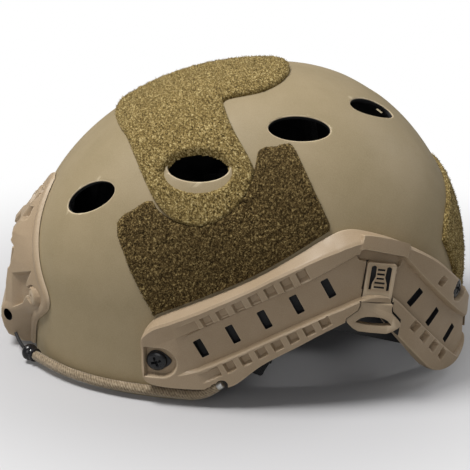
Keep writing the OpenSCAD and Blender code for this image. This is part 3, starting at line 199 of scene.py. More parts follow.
def add_object(name, data):
    obj = bpy.data.objects.new(name, data)
    bpy.context.scene.collection.objects.link(obj)
    return obj


def mesh_piece(name, points, faces, material, body="shell", smooth=35, mirror=False):
    """Object from points in millimetres of the drawing frame."""
    p = np.array(points, float).reshape(-1, 3)
    if mirror:
        p = p * [-1, 1, 1]
    p = (p + [0, SHIFT_Y, 0]) * MM
    mesh = bpy.data.meshes.new(name)
    faces = [list(map(int, f[::-1] if mirror else f)) for f in faces]
    mesh.from_pydata(p.tolist(), [], faces)
    mesh.validate()
    mesh.update()
    obj = add_object(name, mesh)
    for m in material if isinstance(material, (list, tuple)) else [material]:
        mesh.materials.append(m)
    shade(obj, smooth)
    if body:
        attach(obj, body)
    return obj


def shade(obj, angle):
    """Smooth shading up to an angle between faces. At 0 all faces are flat."""
    for polygon in obj.data.polygons:
        polygon.use_smooth = angle > 0
    if angle > 0:
        obj.data.set_sharp_from_angle(angle=math.radians(angle))


def clean(obj, dist=0.004, angle=35):
    """Welds points closer than dist millimetres, drops empty faces and points all faces outward."""
    bm = bmesh.new()
    bm.from_mesh(obj.data)
    bmesh.ops.remove_doubles(bm, verts=bm.verts, dist=dist * MM)
    bmesh.ops.dissolve_degenerate(bm, edges=bm.edges, dist=dist * MM)
    bmesh.ops.recalc_face_normals(bm, faces=bm.faces)
    bm.to_mesh(obj.data)
    bm.free()
    shade(obj, angle)


def apply_modifiers(obj):
    """Keeps what the modifiers make as the object's mesh."""
    bpy.context.view_layer.update()
    evaluated = obj.evaluated_get(bpy.context.evaluated_depsgraph_get())
    mesh = bpy.data.meshes.new_from_object(evaluated)
    obj.modifiers.clear()
    old, obj.data = obj.data, mesh
    name = old.name
    bpy.data.meshes.remove(old)
    mesh.name = name


def cut(obj, cutters, angle=35):
    """Takes the cutter objects away from obj and removes them."""
    for c in cutters:
        m = obj.modifiers.new("cut", "BOOLEAN")
        m.operation, m.solver, m.object = "DIFFERENCE", "EXACT", c
        m.material_mode = "TRANSFER"
    apply_modifiers(obj)
    for c in cutters:
        bpy.data.objects.remove(c)
    shade(obj, angle)


def prism(outline, frame_axes, z0, z1):
    """Closed prism over an outline in a frame (origin, x, y, z), from z0 to z1."""
    o, x, y, z = (np.asarray(v, float) for v in frame_axes)
    pts = np.array(outline, float)
    rings = [o + pts[:, :1] * x + pts[:, 1:] * y + h * z for h in (z0, z1)]
    n = len(pts)
    faces = [[(k + 1) % n + n, k + n, k, (k + 1) % n] for k in range(n)]
    faces += [list(range(n)), list(range(n, 2 * n))[::-1]]
    return np.vstack(rings), faces


def cutter(points, faces, mirror=False, dark=False):
    """Body to be cut away. A dark one colours the faces that it leaves black, as painted shade."""
    obj = mesh_piece("cutter", points, faces, [], body=None, smooth=0, mirror=mirror)
    clean(obj, 0.0001, 0)
    if dark:
        obj.data.materials.append(INNER_BLACK_AND_PAINTED_SHADE)
    return obj


def lathe(profile, frame_axes, sides=48):
    """Turned body: profile is [radius, height] from the bottom up, round the frame's z axis."""
    o, x, y, z = (np.asarray(v, float) for v in frame_axes)
    a = circle(sides)
    rows = [o + r * (np.cos(a)[:, None] * x + np.sin(a)[:, None] * y) + h * z for r, h in profile]
    return np.vstack(rows), closed_faces(len(profile), sides)


def drill(frame_axes, radius, low, high, sides=32, mirror=False):
    """Round cutter along the frame's z axis."""
    return cutter(*lathe([(radius, low), (radius, high)], frame_axes, sides), mirror)


def block(half, low, high):
    """Outline of a rectangle that is centred across."""
    return [(-half, low), (half, low), (half, high), (-half, high)]


def side_name(mirror):
    return "right" if mirror else "left"


def store(obj, name, values):
    """Keeps a value for each point of the mesh, for the material to read."""
    attribute = obj.data.attributes.new(name, "FLOAT", "POINT")
    attribute.data.foreach_set("value", np.asarray(values, np.float32).reshape(-1))


def join(parts):
    """One list of points and one of faces from several."""
    points, faces, k = [], [], 0
    for p, f in parts:
        p = np.array(p, float).reshape(-1, 3)
        points.append(p)
        faces += [[int(i) + k for i in face] for face in f]
        k += len(p)
    return np.vstack(points), faces


def tube(route, radius, sides=16, wave=None):
    """Tube along a dense route. wave(along, around) scales the radius."""
    route = np.array(route, float)
    way = unit(np.gradient(route, axis=0))
    side = unit(np.cross(way, [0, 0, 1.0]))
    up = np.cross(side, way)
    along, a = path_lengths(route), circle(sides)
    r = radius * (wave(along[:, None], a[None, :]) if wave else np.ones((len(route), sides)))
    ring = np.cos(a)[None, :, None] * side[:, None] + np.sin(a)[None, :, None] * up[:, None]
    p = route[:, None] + ring * r[..., None]
    return p.reshape(-1, 3), closed_faces(len(route), sides, flip=True)


def spline(points, count):
    """Smooth curve through the points, evenly spaced."""
    p = np.array(points, float)
    q = np.vstack([2 * p[0] - p[1], p, 2 * p[-1] - p[-2]])
    out = []
    for i in range(1, len(q) - 2):
        t = np.linspace(0, 1, 24, endpoint=False)[:, None]
        a, b, c, d = q[i - 1], q[i], q[i + 1], q[i + 2]
        out.append(0.5 * (2 * b + (c - a) * t + (2 * a - 5 * b + 4 * c - d) * t * t
                          + (3 * b - a - 3 * c + d) * t ** 3))
    out = np.vstack(out + [p[-1:]])
    s = path_lengths(out)
    u = np.linspace(0, s[-1], count)
    return np.stack([np.interp(u, s, out[:, k]) for k in range(out.shape[1])], -1)


def edge_drop(distance, radius):
    """How far a rounded edge lies below its face, at a distance from the edge."""
    d = np.clip(distance, 0, radius)
    return radius - np.sqrt(radius ** 2 - (radius - d) ** 2)


def rect_depth(u, v, hx, hy, radius=0.0):
    """Distance inside a rounded rectangle: positive inside."""
    qx, qy = np.abs(u) - hx + radius, np.abs(v) - hy + radius
    outside = np.hypot(np.maximum(qx, 0), np.maximum(qy, 0))
    return radius - outside - np.minimum(np.maximum(qx, qy), 0)


def polygon_depth(u, v, outline):
    """Distance inside a polygon: positive inside."""
    p = np.array(outline, float)
    q = np.roll(p, -1, 0)
    best = np.full(u.shape, 1e9)
    inside = np.zeros(u.shape, bool)
    for (x0, y0), (x1, y1) in zip(p, q):
        dx, dy = x1 - x0, y1 - y0
        t = np.clip(((u - x0) * dx + (v - y0) * dy) / (dx * dx + dy * dy + 1e-9), 0, 1)
        best = np.minimum(best, np.hypot(u - x0 - t * dx, v - y0 - t * dy))
        if y0 != y1:
            inside ^= ((y0 > v) != (y1 > v)) & (u < dx * (v - y0) / (y1 - y0) + x0)
    return np.where(inside, best, -best)


def value_noise(u, v, seed):
    """Smooth random field over two coordinates, with cells one unit wide."""
    g = np.random.default_rng(seed).random((257, 257))
    iu, iv = np.floor(u).astype(int), np.floor(v).astype(int)
    fu, fv = u - iu, v - iv
    fu, fv = fu * fu * (3 - 2 * fu), fv * fv * (3 - 2 * fv)
    a, b = g[iu % 256, iv % 256], g[(iu + 1) % 256, iv % 256]
    c, d = g[iu % 256, (iv + 1) % 256], g[(iu + 1) % 256, (iv + 1) % 256]
    return (a * (1 - fu) + b * fu) * (1 - fv) + (c * (1 - fu) + d * fu) * fv


# Materials
def srgb(hex_text):
    """Linear colour from a hex text."""
    c = [int(hex_text[i:i + 2], 16) / 255 for i in (1, 3, 5)]
    return tuple(x / 12.92 if x <= 0.04045 else ((x + 0.055) / 1.055) ** 2.4 for x in c) + (1.0,)


def add_node(tree, kind, inputs=None, **settings):
    """Node whose inputs are given as values, or as the sockets that feed them."""
    n = tree.nodes.new("ShaderNode" + kind)
    for key, value in settings.items():
        setattr(n, key, value)
    for key, value in (inputs or {}).items():
        feed(tree, value, n.inputs[key])
    return n


def feed(tree, value, socket):
    if hasattr(value, "is_linked"):
        tree.links.new(value, socket)
    else:
        socket.default_value = value


class Shader:
    """Small helper for building a material's nodes."""

    def __init__(self, name, roughness=0.5, specular=0.5, metallic=0.0):
        self.material = bpy.data.materials.new(name)
        self.material.use_nodes = True
        self.tree = self.material.node_tree
        self.bsdf = self.tree.nodes["Principled BSDF"]
        self.set({"Roughness": roughness, "Specular IOR Level": specular, "Metallic": metallic})
        self.coords = self.node("TexCoord").outputs["Object"]

    def set(self, values):
        for key, value in values.items():
            feed(self.tree, value, self.bsdf.inputs[key])

    def sheen(self, weight, roughness=0.5, tint="#ffffff"):
        self.set({"Sheen Weight": weight, "Sheen Roughness": roughness, "Sheen Tint": srgb(tint)})

    def node(self, kind, inputs=None, **settings):
        return add_node(self.tree, kind, inputs, **settings)

    def noise(self, size, detail=2.0, rough=0.5, distortion=0.0):
        """Noise with features about size millimetres wide."""
        return self.node("TexNoise", {"Vector": self.coords, "Scale": 1000 / size,
                                      "Detail": detail, "Roughness": rough,
                                      "Distortion": distortion}).outputs["Fac"]

    def voronoi(self, size, randomness=1.0):
        return self.node("TexVoronoi", {"Vector": self.coords, "Scale": 1000 / size,
                                        "Randomness": randomness}).outputs["Distance"]

    def ramp(self, fac, stops):
        n = self.node("ValToRGB", {"Fac": fac})
        e = n.color_ramp.elements
        while len(e) < len(stops):
            e.new(0.5)
        for item, (pos, color) in zip(e, stops):
            item.position, item.color = pos, color
        return n.outputs["Color"]

    def tint(self, color, tone, mask, lo, hi, share=1.0):
        """Lays a tone over a colour, by up to share where the mask rises from lo to hi."""
        fac = self.range(mask, lo, hi, 0.0, share)
        return self.node("Mix", {0: fac, 6: color, 7: srgb(tone)}, data_type="RGBA").outputs[2]

    def math(self, operation, a, b=0.5, c=0.5):
        return self.node("Math", {0: a, 1: b, 2: c}, operation=operation).outputs[0]

    def range(self, value, lo, hi, to_lo=0.0, to_hi=1.0):
        return self.node("MapRange", {"Value": value, "From Min": lo, "From Max": hi,
                                      "To Min": to_lo, "To Max": to_hi}).outputs[0]

    def attribute(self, name):
        return self.node("Attribute", attribute_name=name).outputs["Fac"]

    def bump(self, height, depth, strength=1.0):
        """depth is in millimetres."""
        return self.node("Bump", {"Height": height, "Distance": depth * MM,
                                  "Strength": strength}).outputs[0]

    def finish(self, color, roughness, bump):
        """The finished material. Without a roughness it keeps the one it was made with."""
        self.set({"Base Color": color, "Normal": bump})
        if roughness is not None:
            self.set({"Roughness": roughness})
        return self.material


def painted(name, base, dark, light, roughness=(0.5, 0.62), grain=0.55, depth=0.05, specular=0.35):
    """Matt paint or moulded plastic with a fine grain, faint blotches, and sharp edges lightened as
    edge wear and painted highlight.
    """
    s = Shader(name, specular=specular)
    fine = s.noise(grain, 2, 0.6)
    speck = s.voronoi(grain * 2.2)
    color = s.tint(srgb(dark), base, s.noise(38, 3, 0.6), 0.35, 0.65)
    color = s.tint(color, light, fine, 0.3, 0.7, 0.28)
    # Sharp edges are lightened, partly as edge wear and partly as painted highlight
    edge_wear_and_highlight = s.node("NewGeometry").outputs["Pointiness"]
    color = s.tint(color, light, edge_wear_and_highlight, 0.515, 0.57, 0.75)
    height = s.math("MULTIPLY_ADD", speck, 0.5, s.math("MULTIPLY", fine, 0.5))
    rough = s.range(s.noise(9, 3), 0.3, 0.7, *roughness)
    return s.finish(color, rough, s.bump(height, depth))


def black_plastic(name, tone="#161618", roughness=(0.34, 0.5), grain=0.5):
    s = Shader(name, specular=0.45)
    fine = s.noise(grain, 2)
    color = s.tint(srgb(tone), "#222226", s.noise(14, 3), 0.3, 0.7)
    color = s.tint(color, "#3a3a3e", fine, 0.55, 0.75, 0.3)
    return s.finish(color, s.range(s.noise(6, 2), 0.3, 0.7, *roughness), s.bump(fine, 0.04))


def pile_material(name, tones, cast_tone):
    """Loop pile: the height of each loop is stored on the mesh as the attribute "pile", and lower
    loops are coloured darker as painted shade between the loops.
    """
    s = Shader(name, roughness=0.95, specular=0.12)
    s.sheen(0.25, tint="#c9b68a")
    height = s.attribute("pile")
    strands = s.noise(0.95, 2, 0.6, distortion=0.6)
    speck = s.range(strands, 0.34, 0.66)
    tone = s.math("ADD", s.math("MULTIPLY", height, 0.42), s.math("MULTIPLY", speck, 0.56))
    stops = [(pos, srgb(t)) for pos, t in zip((0.18, 0.4, 0.62, 0.86), tones)]
    color = s.ramp(tone, stops)
    color = s.tint(color, cast_tone, s.noise(26, 3), 0.3, 0.7, 0.3)
    return s.finish(color, None, s.bump(strands, 0.35, 0.8))


def cord_material(name):
    s = Shader(name, roughness=0.8, specular=0.2)
    s.sheen(0.3)
    braid = s.attribute("braid")
    fleck = s.noise(0.5, 2, 0.6)
    color = s.ramp(braid, [(0.15, srgb("#473c2e")), (0.5, srgb("#897963")), (0.9, srgb("#b3a48e"))])
    color = s.tint(color, "#73664f", fleck, 0.35, 0.65, 0.35)
    return s.finish(color, None, s.bump(fleck, 0.12))


def webbing_material(name):
    """Woven band: the position along and across it is stored as attributes."""
    s = Shader(name, roughness=0.72, specular=0.25)
    along, across = s.attribute("along"), s.attribute("across")
    pick = s.math("SINE", s.math("MULTIPLY", along, 2 * math.pi / 1.1))
    warp = s.math("SINE", s.math("MULTIPLY", across, 2 * math.pi / 1.6))
    weave = s.math("MULTIPLY", pick, warp)
    fuzz = s.noise(0.3, 2)
    color = s.tint(srgb("#0c0c0d"), "#2b2b2d", weave, -1, 1)
    color = s.tint(color, "#45454a", fuzz, 0.5, 0.75, 0.35)
    height = s.math("MULTIPLY_ADD", weave, 0.5, s.math("MULTIPLY", fuzz, 0.3))
    return s.finish(color, None, s.bump(height, 0.2))


def pad_material(name):
    """Brushed knit over foam."""
    s = Shader(name, roughness=0.9, specular=0.15)
    s.sheen(0.35, 0.4)
    knit = s.voronoi(0.9, randomness=0.55)
    fuzz = s.noise(0.35, 3, 0.6)
    color = s.tint(srgb("#1e1e21"), "#0d0d0f", knit, 0.1, 0.7)
    color = s.tint(color, "#323237", fuzz, 0.45, 0.7, 0.5)
    return s.finish(color, None, s.bump(s.math("ADD", knit, fuzz), 0.22))


def metal_material(name, tone="#a9a9a6"):
    s = Shader(name, metallic=1.0)
    streak = s.noise(0.6, 3, 0.6)
    color = s.tint(srgb(tone), "#77777a", streak, 0.3, 0.7, 0.4)
    return s.finish(color, s.range(streak, 0.3, 0.7, 0.25, 0.42), s.bump(streak, 0.02))


PAINT = painted("shell_paint", "#97876a", "#8d7e60", "#b3a589")
# Black for the shell's inner face, and painted shade on the deep walls of vents, slots, recesses
# and holes
INNER_BLACK_AND_PAINTED_SHADE = black_plastic("inner_black_and_painted_shade", "#0d0d0e", (0.6, 0.75))
# Paler paint on the vents' rims, as painted highlight
VENT_RIM_HIGHLIGHT = painted("vent_rim_painted_highlight", "#b5a486", "#a59375", "#d3c5a8", grain=0.4)
PLASTIC = painted("moulded_plastic", "#9f8b73", "#958066", "#c2af95", (0.42, 0.55), 0.4, 0.03, 0.4)
PILE = pile_material("loop_pile", ("#241c0d", "#63522f", "#94804f", "#cdbd8c"), "#6e5e3a")
# Darker copy of the pile for the steep side patches, as painted shade
PILE_PAINTED_SHADE = pile_material("loop_pile_painted_shade", ("#120d05", "#3d3019", "#675433", "#b09c6a"), "#40341d")
CORD = cord_material("elastic_cord")
WEB = webbing_material("webbing")
FOAM = pad_material("foam_pad")
BLACK = black_plastic("black_plastic")
RUBBER = black_plastic("black_rubber", "#0f0f11", (0.5, 0.65), 0.8)
SCREW = black_plastic("black_screw", "#0a0a0d", (0.16, 0.26), 0.9)
STEEL = metal_material("steel")
BRIGHT = metal_material("bright_steel", "#d5d5d2")
NYLON = painted("natural_nylon", "#cfc8b8", "#c0b8a6", "#e4dfd2")


# Shell
def plan_dir(t):
    """Place on the unit plan curve at the angle t, from the front over the near side."""
    c = np.stack([np.sin(t), -np.cos(t)], -1)
    k = (np.abs(c[..., 0]) ** PLAN_POWER + np.abs(c[..., 1]) ** PLAN_POWER) ** (-1 / PLAN_POWER)
    return c * k[..., None]


def profile_power(t):
    """Power of the upright section at the plan angle t."""
    d = plan_dir(t)
    share = d[..., 1] ** 2 / (d ** 2).sum(-1)
    return SIDE_POWER + (np.where(d[..., 1] < 0, FRONT_POWER, REAR_POWER) - SIDE_POWER) * share


def meridian(t, c, w, off):
    """Points at the plan angle t, at the shares c of the plan and w of the rise."""
    d = plan_dir(t)
    v = d[..., 1] * c
    return np.stack([d[..., 0] * c * (HALF_WIDTH + off) * (1 + EGG * v),
                     v * (np.where(d[..., 1] < 0, FRONT, REAR) + off),
                     EQUATOR + (RISE + off) * w + 0 * v], -1)


def at_height(t, z, off):
    """Points on the dome grown by off, at the plan angle t and the height z."""
    m = profile_power(t)
    w = np.maximum(z - EQUATOR, 0) / (RISE + off)
    p = meridian(t, np.maximum(1 - w ** m, 0) ** (1 / m), w, off)
    p[..., 2] = z
    return p


def at_latitude(t, q, off):
    """Points at the plan angle t and the latitude q, which grows to a quarter turn at the crown."""
    m = profile_power(t)
    return meridian(t, np.cos(q) ** (2 / m), np.sin(q) ** (2 / m), off)


SMOOTH_RIM = smooth_line(RIM_LINE)


def rim_z(t):
    """Height of the rim at the plan angle t."""
    return lookup(meridian(t, 1.0, 0.0, 0.0)[..., 1], SMOOTH_RIM)


# Up to BLEND_Z the shell's rows go by height from the rim, and above it by latitude to the crown
STATIONS, WALL_ROWS, CROWN_ROWS, BLEND_Z = 300, 34, 46, EQUATOR + 20
RIM_ROUND = 1.1


def shell_rows(off):
    """Rows of the shell's face from the rim's rounding up."""
    t = circle(STATIONS)
    rows = []
    low = rim_z(t) + RIM_ROUND
    for k in range(WALL_ROWS):
        share = k / (WALL_ROWS - 1)
        rows.append(at_height(t, low + (BLEND_Z - low) * share, off))
    q0 = np.arcsin(((BLEND_Z - EQUATOR) / (RISE + off)) ** (profile_power(t) / 2))
    for k in range(1, CROWN_ROWS):
        rows.append(at_latitude(t, q0 + (np.pi / 2 - q0) * k / CROWN_ROWS, off))
    return rows


def rim_row(depth, rise):
    """Row of the rim's rounding, by its depth in the wall and its height over the rim."""
    t = circle(STATIONS)
    return at_height(t, rim_z(t) + rise, -depth)


VENT_LENGTH, VENT_WIDTH, VENT_MARGIN = 34.8, 16.8, 6.2
# Places and turns of the near side's vents
VENTS = [(side_pt(-108.6, 111, 0), 31), (side_pt(-47.3, 133.5, 0), 3),
         (side_pt(10.2, 151.2, 0), -5), (top_pt(28, 57, 0), -36)]
# Wall of a vent from the inside out: how far the oval grows, and its stand-off
VENT_RINGS = [(1.6, -WALL - 1.5), (0.0, -WALL + 0.2), (0, -1.0), (0.12, -0.5), (0.5, -0.16),
              (0.95, -0.01), (1.8, 1.2)]
# All vents lie above this height. Their walls are black below this depth, as painted shade, and
# paler above it, as painted highlight
VENTS_FROM, PAINTED_SHADE_DEPTH, RIM_HIGHLIGHT_DEPTH = 80, 0.6, 0.005
# The cosine of the turn from the dome's face beyond which a face belongs to a vent's rim
RIM_TURN = 0.965


def vent_cutter(spot, turn, mirror):
    """Oval plug that follows the dome and flares a little at both faces of the wall."""
    o, x, y, n = face_axes(spot, 0)
    a = circle(96)
    rows = []
    for grow, off in VENT_RINGS:
        u, v = (VENT_LENGTH / 2 + grow) * np.cos(a), (VENT_WIDTH / 2 + grow) * np.sin(a)
        u, v = rotate(u, v, -turn)
        p = o + u[:, None] * x + v[:, None] * y
        rows.append(p + n * reach(p, np.broadcast_to(n, p.shape), off, -30, 30)[:, None])
    return cutter(np.vstack(rows), closed_faces(len(rows), len(a)), mirror)


def build_shell():
    """Shell of both faces and the rounded rim, with the vents cut through it."""
    r = RIM_ROUND
    outer, inner = shell_rows(0), shell_rows(-WALL)
    lip = [rim_row(r * (1 - math.cos(a)), r * (1 - math.sin(a))) for a in
           np.radians([22, 45, 68, 90])]
    back = [rim_row(WALL - r * (1 - math.sin(a)), r * (1 - math.cos(a))) for a in
            np.radians([0, 22, 45, 68])]
    rows = inner[::-1] + back[::-1] + lip[::-1] + outer
    points = np.vstack([*rows, [[0, 0, EQUATOR + RISE]], [[0, 0, EQUATOR + RISE - WALL]]])
    n_rows = len(rows)
    faces = grid_faces(n_rows, STATIONS, wrap=True)
    top, bottom = n_rows * STATIONS, n_rows * STATIONS + 1
    last = (n_rows - 1) * STATIONS
    for j in range(STATIONS):
        k = (j + 1) % STATIONS
        faces += [[last + j, last + k, top], [k, j, bottom]]
    shell = mesh_piece("helmet_shell", points, faces, [PAINT, INNER_BLACK_AND_PAINTED_SHADE, VENT_RIM_HIGHLIGHT])
    clean(shell, 0.001, 50)
    cutters = [vent_cutter(p, a, m) for p, a in VENTS for m in (False, True)]
    cut(shell, cutters, 50)
    shell.data.materials.clear()
    for m in (PAINT, INNER_BLACK_AND_PAINTED_SHADE, VENT_RIM_HIGHLIGHT):
        shell.data.materials.append(m)
    # The inner face is black, the vents' walls are black deeper in, as painted shade, and their
    # rims are paler, as painted highlight
    mesh = shell.data
    centres = np.array([f.center for f in mesh.polygons]) / MM - [0, SHIFT_Y, 0]
    vented = centres[:, 2] > VENTS_FROM
    deep = dome(centres, np.where(vented, -PAINTED_SHADE_DEPTH, -WALL + 0.35)) < 1
    facing = (normal(centres, 0, 0.5) * np.array([f.normal for f in mesh.polygons])).sum(-1)
    rim = (dome(centres, -RIM_HIGHLIGHT_DEPTH) < 1) & (facing < RIM_TURN) & ~deep & vented
    for f, d, e in zip(mesh.polygons, deep, rim):
        f.material_index = 1 if d else 2 if e else 0
    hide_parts("shell")


build_shell()


# Side rails. Tables give heights or stand-offs by the distance along the side, and stand-offs
# are from the shell's outer face. The rail is drawn over the dome grown by RAIL_REF
RAIL_REF, RIDGE_OFF, LIP_OFF, FLOOR_OFF = 8.0, 9.6, 8.6, 4.6
RAIL_FRONT, RAIL_REAR = -82.0, REAR - 3.2
ARM_ANGLE, REAR_ANGLE = 27.5, -52.0
ROW_ANGLE, REAR_ROW_ANGLE = 27.0, -51.5
# The lower and upper edges, and the height of the rolled flange below the upper one
RAIL_BOTTOM = smooth_line(
    [(RAIL_FRONT, 22), (-81, 16.5), (-79, 13.6), (-75, 11.8), (-66, 11.2), (-53, 11.2), (-44, 11.8),
     (-36.6, 12.6), (-32, 13.6), (-28, 15.8), (-23.5, 19.6), (-16.4, 26), (-9.4, 30.6), (5.8, 38.8),
     (18, 46), (38, 55.6), (46, 57.5), (51, 56), (61, 42.3), (71, 30), (84.6, 13), (90, 9.4),
     (95, 7.8), (102, 7), (107, 8.4), (110.5, 12), (RAIL_REAR, 18)])
RAIL_TOP = smooth_line(
    [(RAIL_FRONT, 40), (-81, 44), (-79, 47), (-75, 51.4), (-70.5, 54.2), (-54, 62), (-41, 68),
     (-28, 73.6), (-11, 82.2), (6, 92), (19.5, 100), (29, 104.4), (36, 105.4), (44.6, 104),
     (63.2, 97.4), (83.9, 84.7), (99, 68.3), (107, 57.5), (RAIL_REAR, 46)])
RAIL_FLANGE = [(RAIL_FRONT, 3), (-74, 4), (-66, 4.8), (-49, 4.8), (-28, 4), (-9, 4.3), (10, 6.8),
               (27, 9.6), (34, 9), (46, 6), (66, 3.4), (RAIL_REAR, 3)]
# The upper and lower edges of the sunken floor, and the floor's stand-off
RAIL_LIP = [(RAIL_FRONT, 33), (-66, 40.6), (-26.6, 61), (13, 79), (38, 91.7), (46, 91),
            (66.5, 86), (111.8, 31.6), (RAIL_REAR, 30.4)]
RAIL_LOW_LIP = smooth_line(
    [(RAIL_FRONT, 26.5), (-72, 21.5), (-58, 20.2), (-26, 35.8), (-12.8, 42.6), (0, 48.8),
     (20.4, 58.2), (32.4, 62.8), (40, 65.8), (48, 67.8), (58.4, 65.8), (65.4, 59.4), (106.5, 9.4),
     (RAIL_REAR, 2)], 1)
RAIL_FLOOR = [(-62, LIP_OFF), (-53, FLOOR_OFF + 1.6), (-46, FLOOR_OFF), (98, FLOOR_OFF),
              (RAIL_REAR, FLOOR_OFF + 2.6)]
# The screws' places and the stand-off of their seats: D-shaped at the front, round at the rear
RAIL_SPOTS, SCREW_SEAT = [(-73.4, 27.3), (103.0, 56.0)], 4.4
FRONT_SEAT_R, REAR_SEAT_R = 9.3, 7.1
CORD_NOTCH_SPOTS, CORD_NOTCH_R = [(-43, 10.6), (-39.8, 13), (-36.6, 15.2)], 3.6
POCKET, POCKET_DEPTH, PITCH = 5.8, 3.0, 9.8
SLOT_LENGTH, SLOT_WIDTH, SLOT_PITCH, SLOT_FLOOR = 11.5, 4.6, 19.9, 1.3
# Facet that bridges the two arms above the clip, and the undercut below it
BRIDGE_ANGLE, FACET_SPOT, FACET_OFF = -17, (54.5, 95.0), 9.75
UNDERCUT_SPOT, UNDERCUT_OFF = (53.0, 88.0), 2.4


def rail_lines(y):
    """Section of the rail at y, from its bottom edge up: heights and stand-offs."""
    bottom, top = lookup(y, RAIL_BOTTOM), lookup(y, RAIL_TOP)
    ridge = top - lookup(y, RAIL_FLANGE)
    lip = np.minimum(lookup(y, RAIL_LIP), ridge - 2)
    low = np.maximum(lookup(y, RAIL_LOW_LIP), bottom + 3)
    floor = lookup(y, RAIL_FLOOR)
    z = [bottom, bottom + 1.2, low - 0.8, low, low + 0.6, (low + lip) / 2, lip - 0.6, lip,
         lip + 0.9, ridge, ridge + 1.6, top]
    off = [4.4, LIP_OFF, LIP_OFF, np.maximum(LIP_OFF - 0.7, floor), floor, floor, floor,
           np.maximum(LIP_OFF - 1, floor), LIP_OFF, RIDGE_OFF, RIDGE_OFF - 0.9, 1.8]
    return np.stack(z), np.stack(np.broadcast_arrays(*off))


# Columns of the rail's grid: where they start on the bottom edge, and how far they lean back
COLUMN_LEAN = [(RAIL_FRONT, 0), (-78, -2), (-66, -14), (-46, -27.5), (33, -27.5), (37, -24),
               (41, -8), (45, 14), (49, 34), (53, 46), (58, 52), (84.6, 52), (90, 45), (96, 38),
               (102, 29), (107, 19), (110.5, 11), (RAIL_REAR, 0)]
COLUMN_COUNTS = [(RAIL_FRONT, 0.0), (-78, 12), (-66, 32), (-46, 66), (33, 250), (41, 290),
                 (45, 330), (49, 372), (58, 400), (84.6, 462), (96, 486), (107, 502),
                 (RAIL_REAR, 516)]
# Grid rows in each band of the section
BAND_ROWS = [4, 18, 2, 2, 16, 16, 2, 2, 18, 3, 14]


def rail_grid():
    """Flat places (distance along the side, height) and stand-offs of the rail's outer face.

    Columns start on the lower edge and lean, and each line of the section is found along them.
    """
    count = int(COLUMN_COUNTS[-1][1]) + 1
    c = np.array(COLUMN_COUNTS)
    base = np.interp(np.arange(count), c[:, 1], c[:, 0])
    lean = np.radians(lookup(base, COLUMN_LEAN))
    dy, dz = np.sin(lean), np.cos(lean)
    z0 = lookup(base, RAIL_BOTTOM)
    far = np.where(dy > 1e-6, (RAIL_REAR - base) / np.maximum(dy, 1e-6),
                   np.where(dy < -1e-6, (RAIL_FRONT - base) / np.minimum(dy, -1e-6), 200))
    far = np.minimum(far, 120)
    t = np.linspace(0, 1, 700)[:, None] * far
    ys, zs = base + t * dy, z0 + t * dz
    lines, _ = rail_lines(ys)
    marks = []
    for k in range(len(lines)):
        above = zs - lines[k] >= 0 if k else np.ones_like(zs, bool)
        first = np.argmax(above, axis=0)
        first = np.where(above.any(axis=0), first, len(t) - 1)
        j = np.arange(count)
        a, b = np.maximum(first - 1, 0), first
        ga, gb = (zs - lines[k])[a, j], (zs - lines[k])[b, j]
        share = np.where(np.abs(gb - ga) > 1e-9, np.clip(-ga / (gb - ga + 1e-12), 0, 1), 1.0)
        mark = t[a, j] + (t[b, j] - t[a, j]) * share
        marks.append(np.where(first == 0, 0, mark))
    marks = np.maximum.accumulate(np.array(marks), axis=0)
    marks[0] = 0
    _, off = rail_lines(base + marks * dy)
    off = np.stack([off[k][k] for k in range(len(lines))])
    rows_t, rows_off = [marks[0]], [off[0]]
    for k, n in enumerate(BAND_ROWS):
        for i in range(1, n + 1):
            f = i / n
            # The lowest band is rounded, and the others are straight
            g, h = (f, f) if k else (1 - math.cos(f * math.pi / 2), math.sin(f * math.pi / 2))
            rows_t.append(marks[k] + (marks[k + 1] - marks[k]) * g)
            rows_off.append(off[k] + (off[k + 1] - off[k]) * h)
    t, off = np.array(rows_t), np.array(rows_off)
    return base + t * dy, z0 + t * dz, off


def run(start, angle, pitch, count):
    """Places in a straight row on the side."""
    a = math.radians(angle)
    return [(start[0] + i * pitch * math.cos(a), start[1] + i * pitch * math.sin(a))
            for i in range(count)]


def rail_axes(spot):
    return face_axes(side_pt(*spot, RAIL_REF), RAIL_REF)


def local(points, spot, angle):
    """Coordinates of points on the dome, in the frame at a place of the side, turned by angle."""
    o, x, y, _ = rail_axes(spot)
    return rotate((points - o) @ x, (points - o) @ y, angle)


def near(u, v, limit):
    """Keeps a form to its own place, because the frame's axes run on through the whole rail."""
    return (np.abs(u) < limit) & (np.abs(v) < limit)


def sink(off, depth, wall, target):
    """Lowers the face to target where depth, the distance inside an outline, is positive."""
    share = np.clip(depth / wall, 0, 1)
    return np.where(depth > 0, off + (np.minimum(target, off) - off) * share, off)


# The strap clip: its place in the rail's guide and its turn, its tongue, and its hook
CLIP_Y, CLIP_Z, CLIP_OFF, CLIP_TILT, CLIP_LEAN = 50.0, 66.0, 5.0, 8.0, 5.0
CLIP_WIDTH, CLIP_THICK, CLIP_TOP, CLIP_NECK, CLIP_GAP = 16.4, 2.8, 19.5, 12.0, 0.4
HOOK_WIDTH, HOOK_HEIGHT, HOOK_DROP, HOOK_STAND = 31.0, 17.5, 3.2, 5.0


def clip_axes():
    """The clip's frame: +x to the rear, +y inward, +z up along the tongue."""
    turns = [Matrix.Rotation(math.radians(angle), 3, axis)
             for angle, axis in ((90, "Z"), (CLIP_TILT, "Y"), (-CLIP_LEAN, "X"))]
    m = np.array(turns[0] @ turns[1] @ turns[2])
    return side_pt(CLIP_Y, CLIP_Z, CLIP_OFF), m[:, 0], m[:, 1], m[:, 2]


# Right halves of the hook's outline and eye, as shares of its half width and height
HOOK_OUTLINE = [(0.6, 0), (0.57, 0.13), (0.62, 0.31), (0.68, 0.35), (0.99, 0.6), (1, 0.67),
                (0.95, 0.75), (0.72, 0.91), (0.52, 0.99), (0, 1)]
HOOK_EYE = [(0, 0.46), (0.3, 0.48), (0.5, 0.55), (0.68, 0.7), (0.3, 0.75), (0, 0.76)]


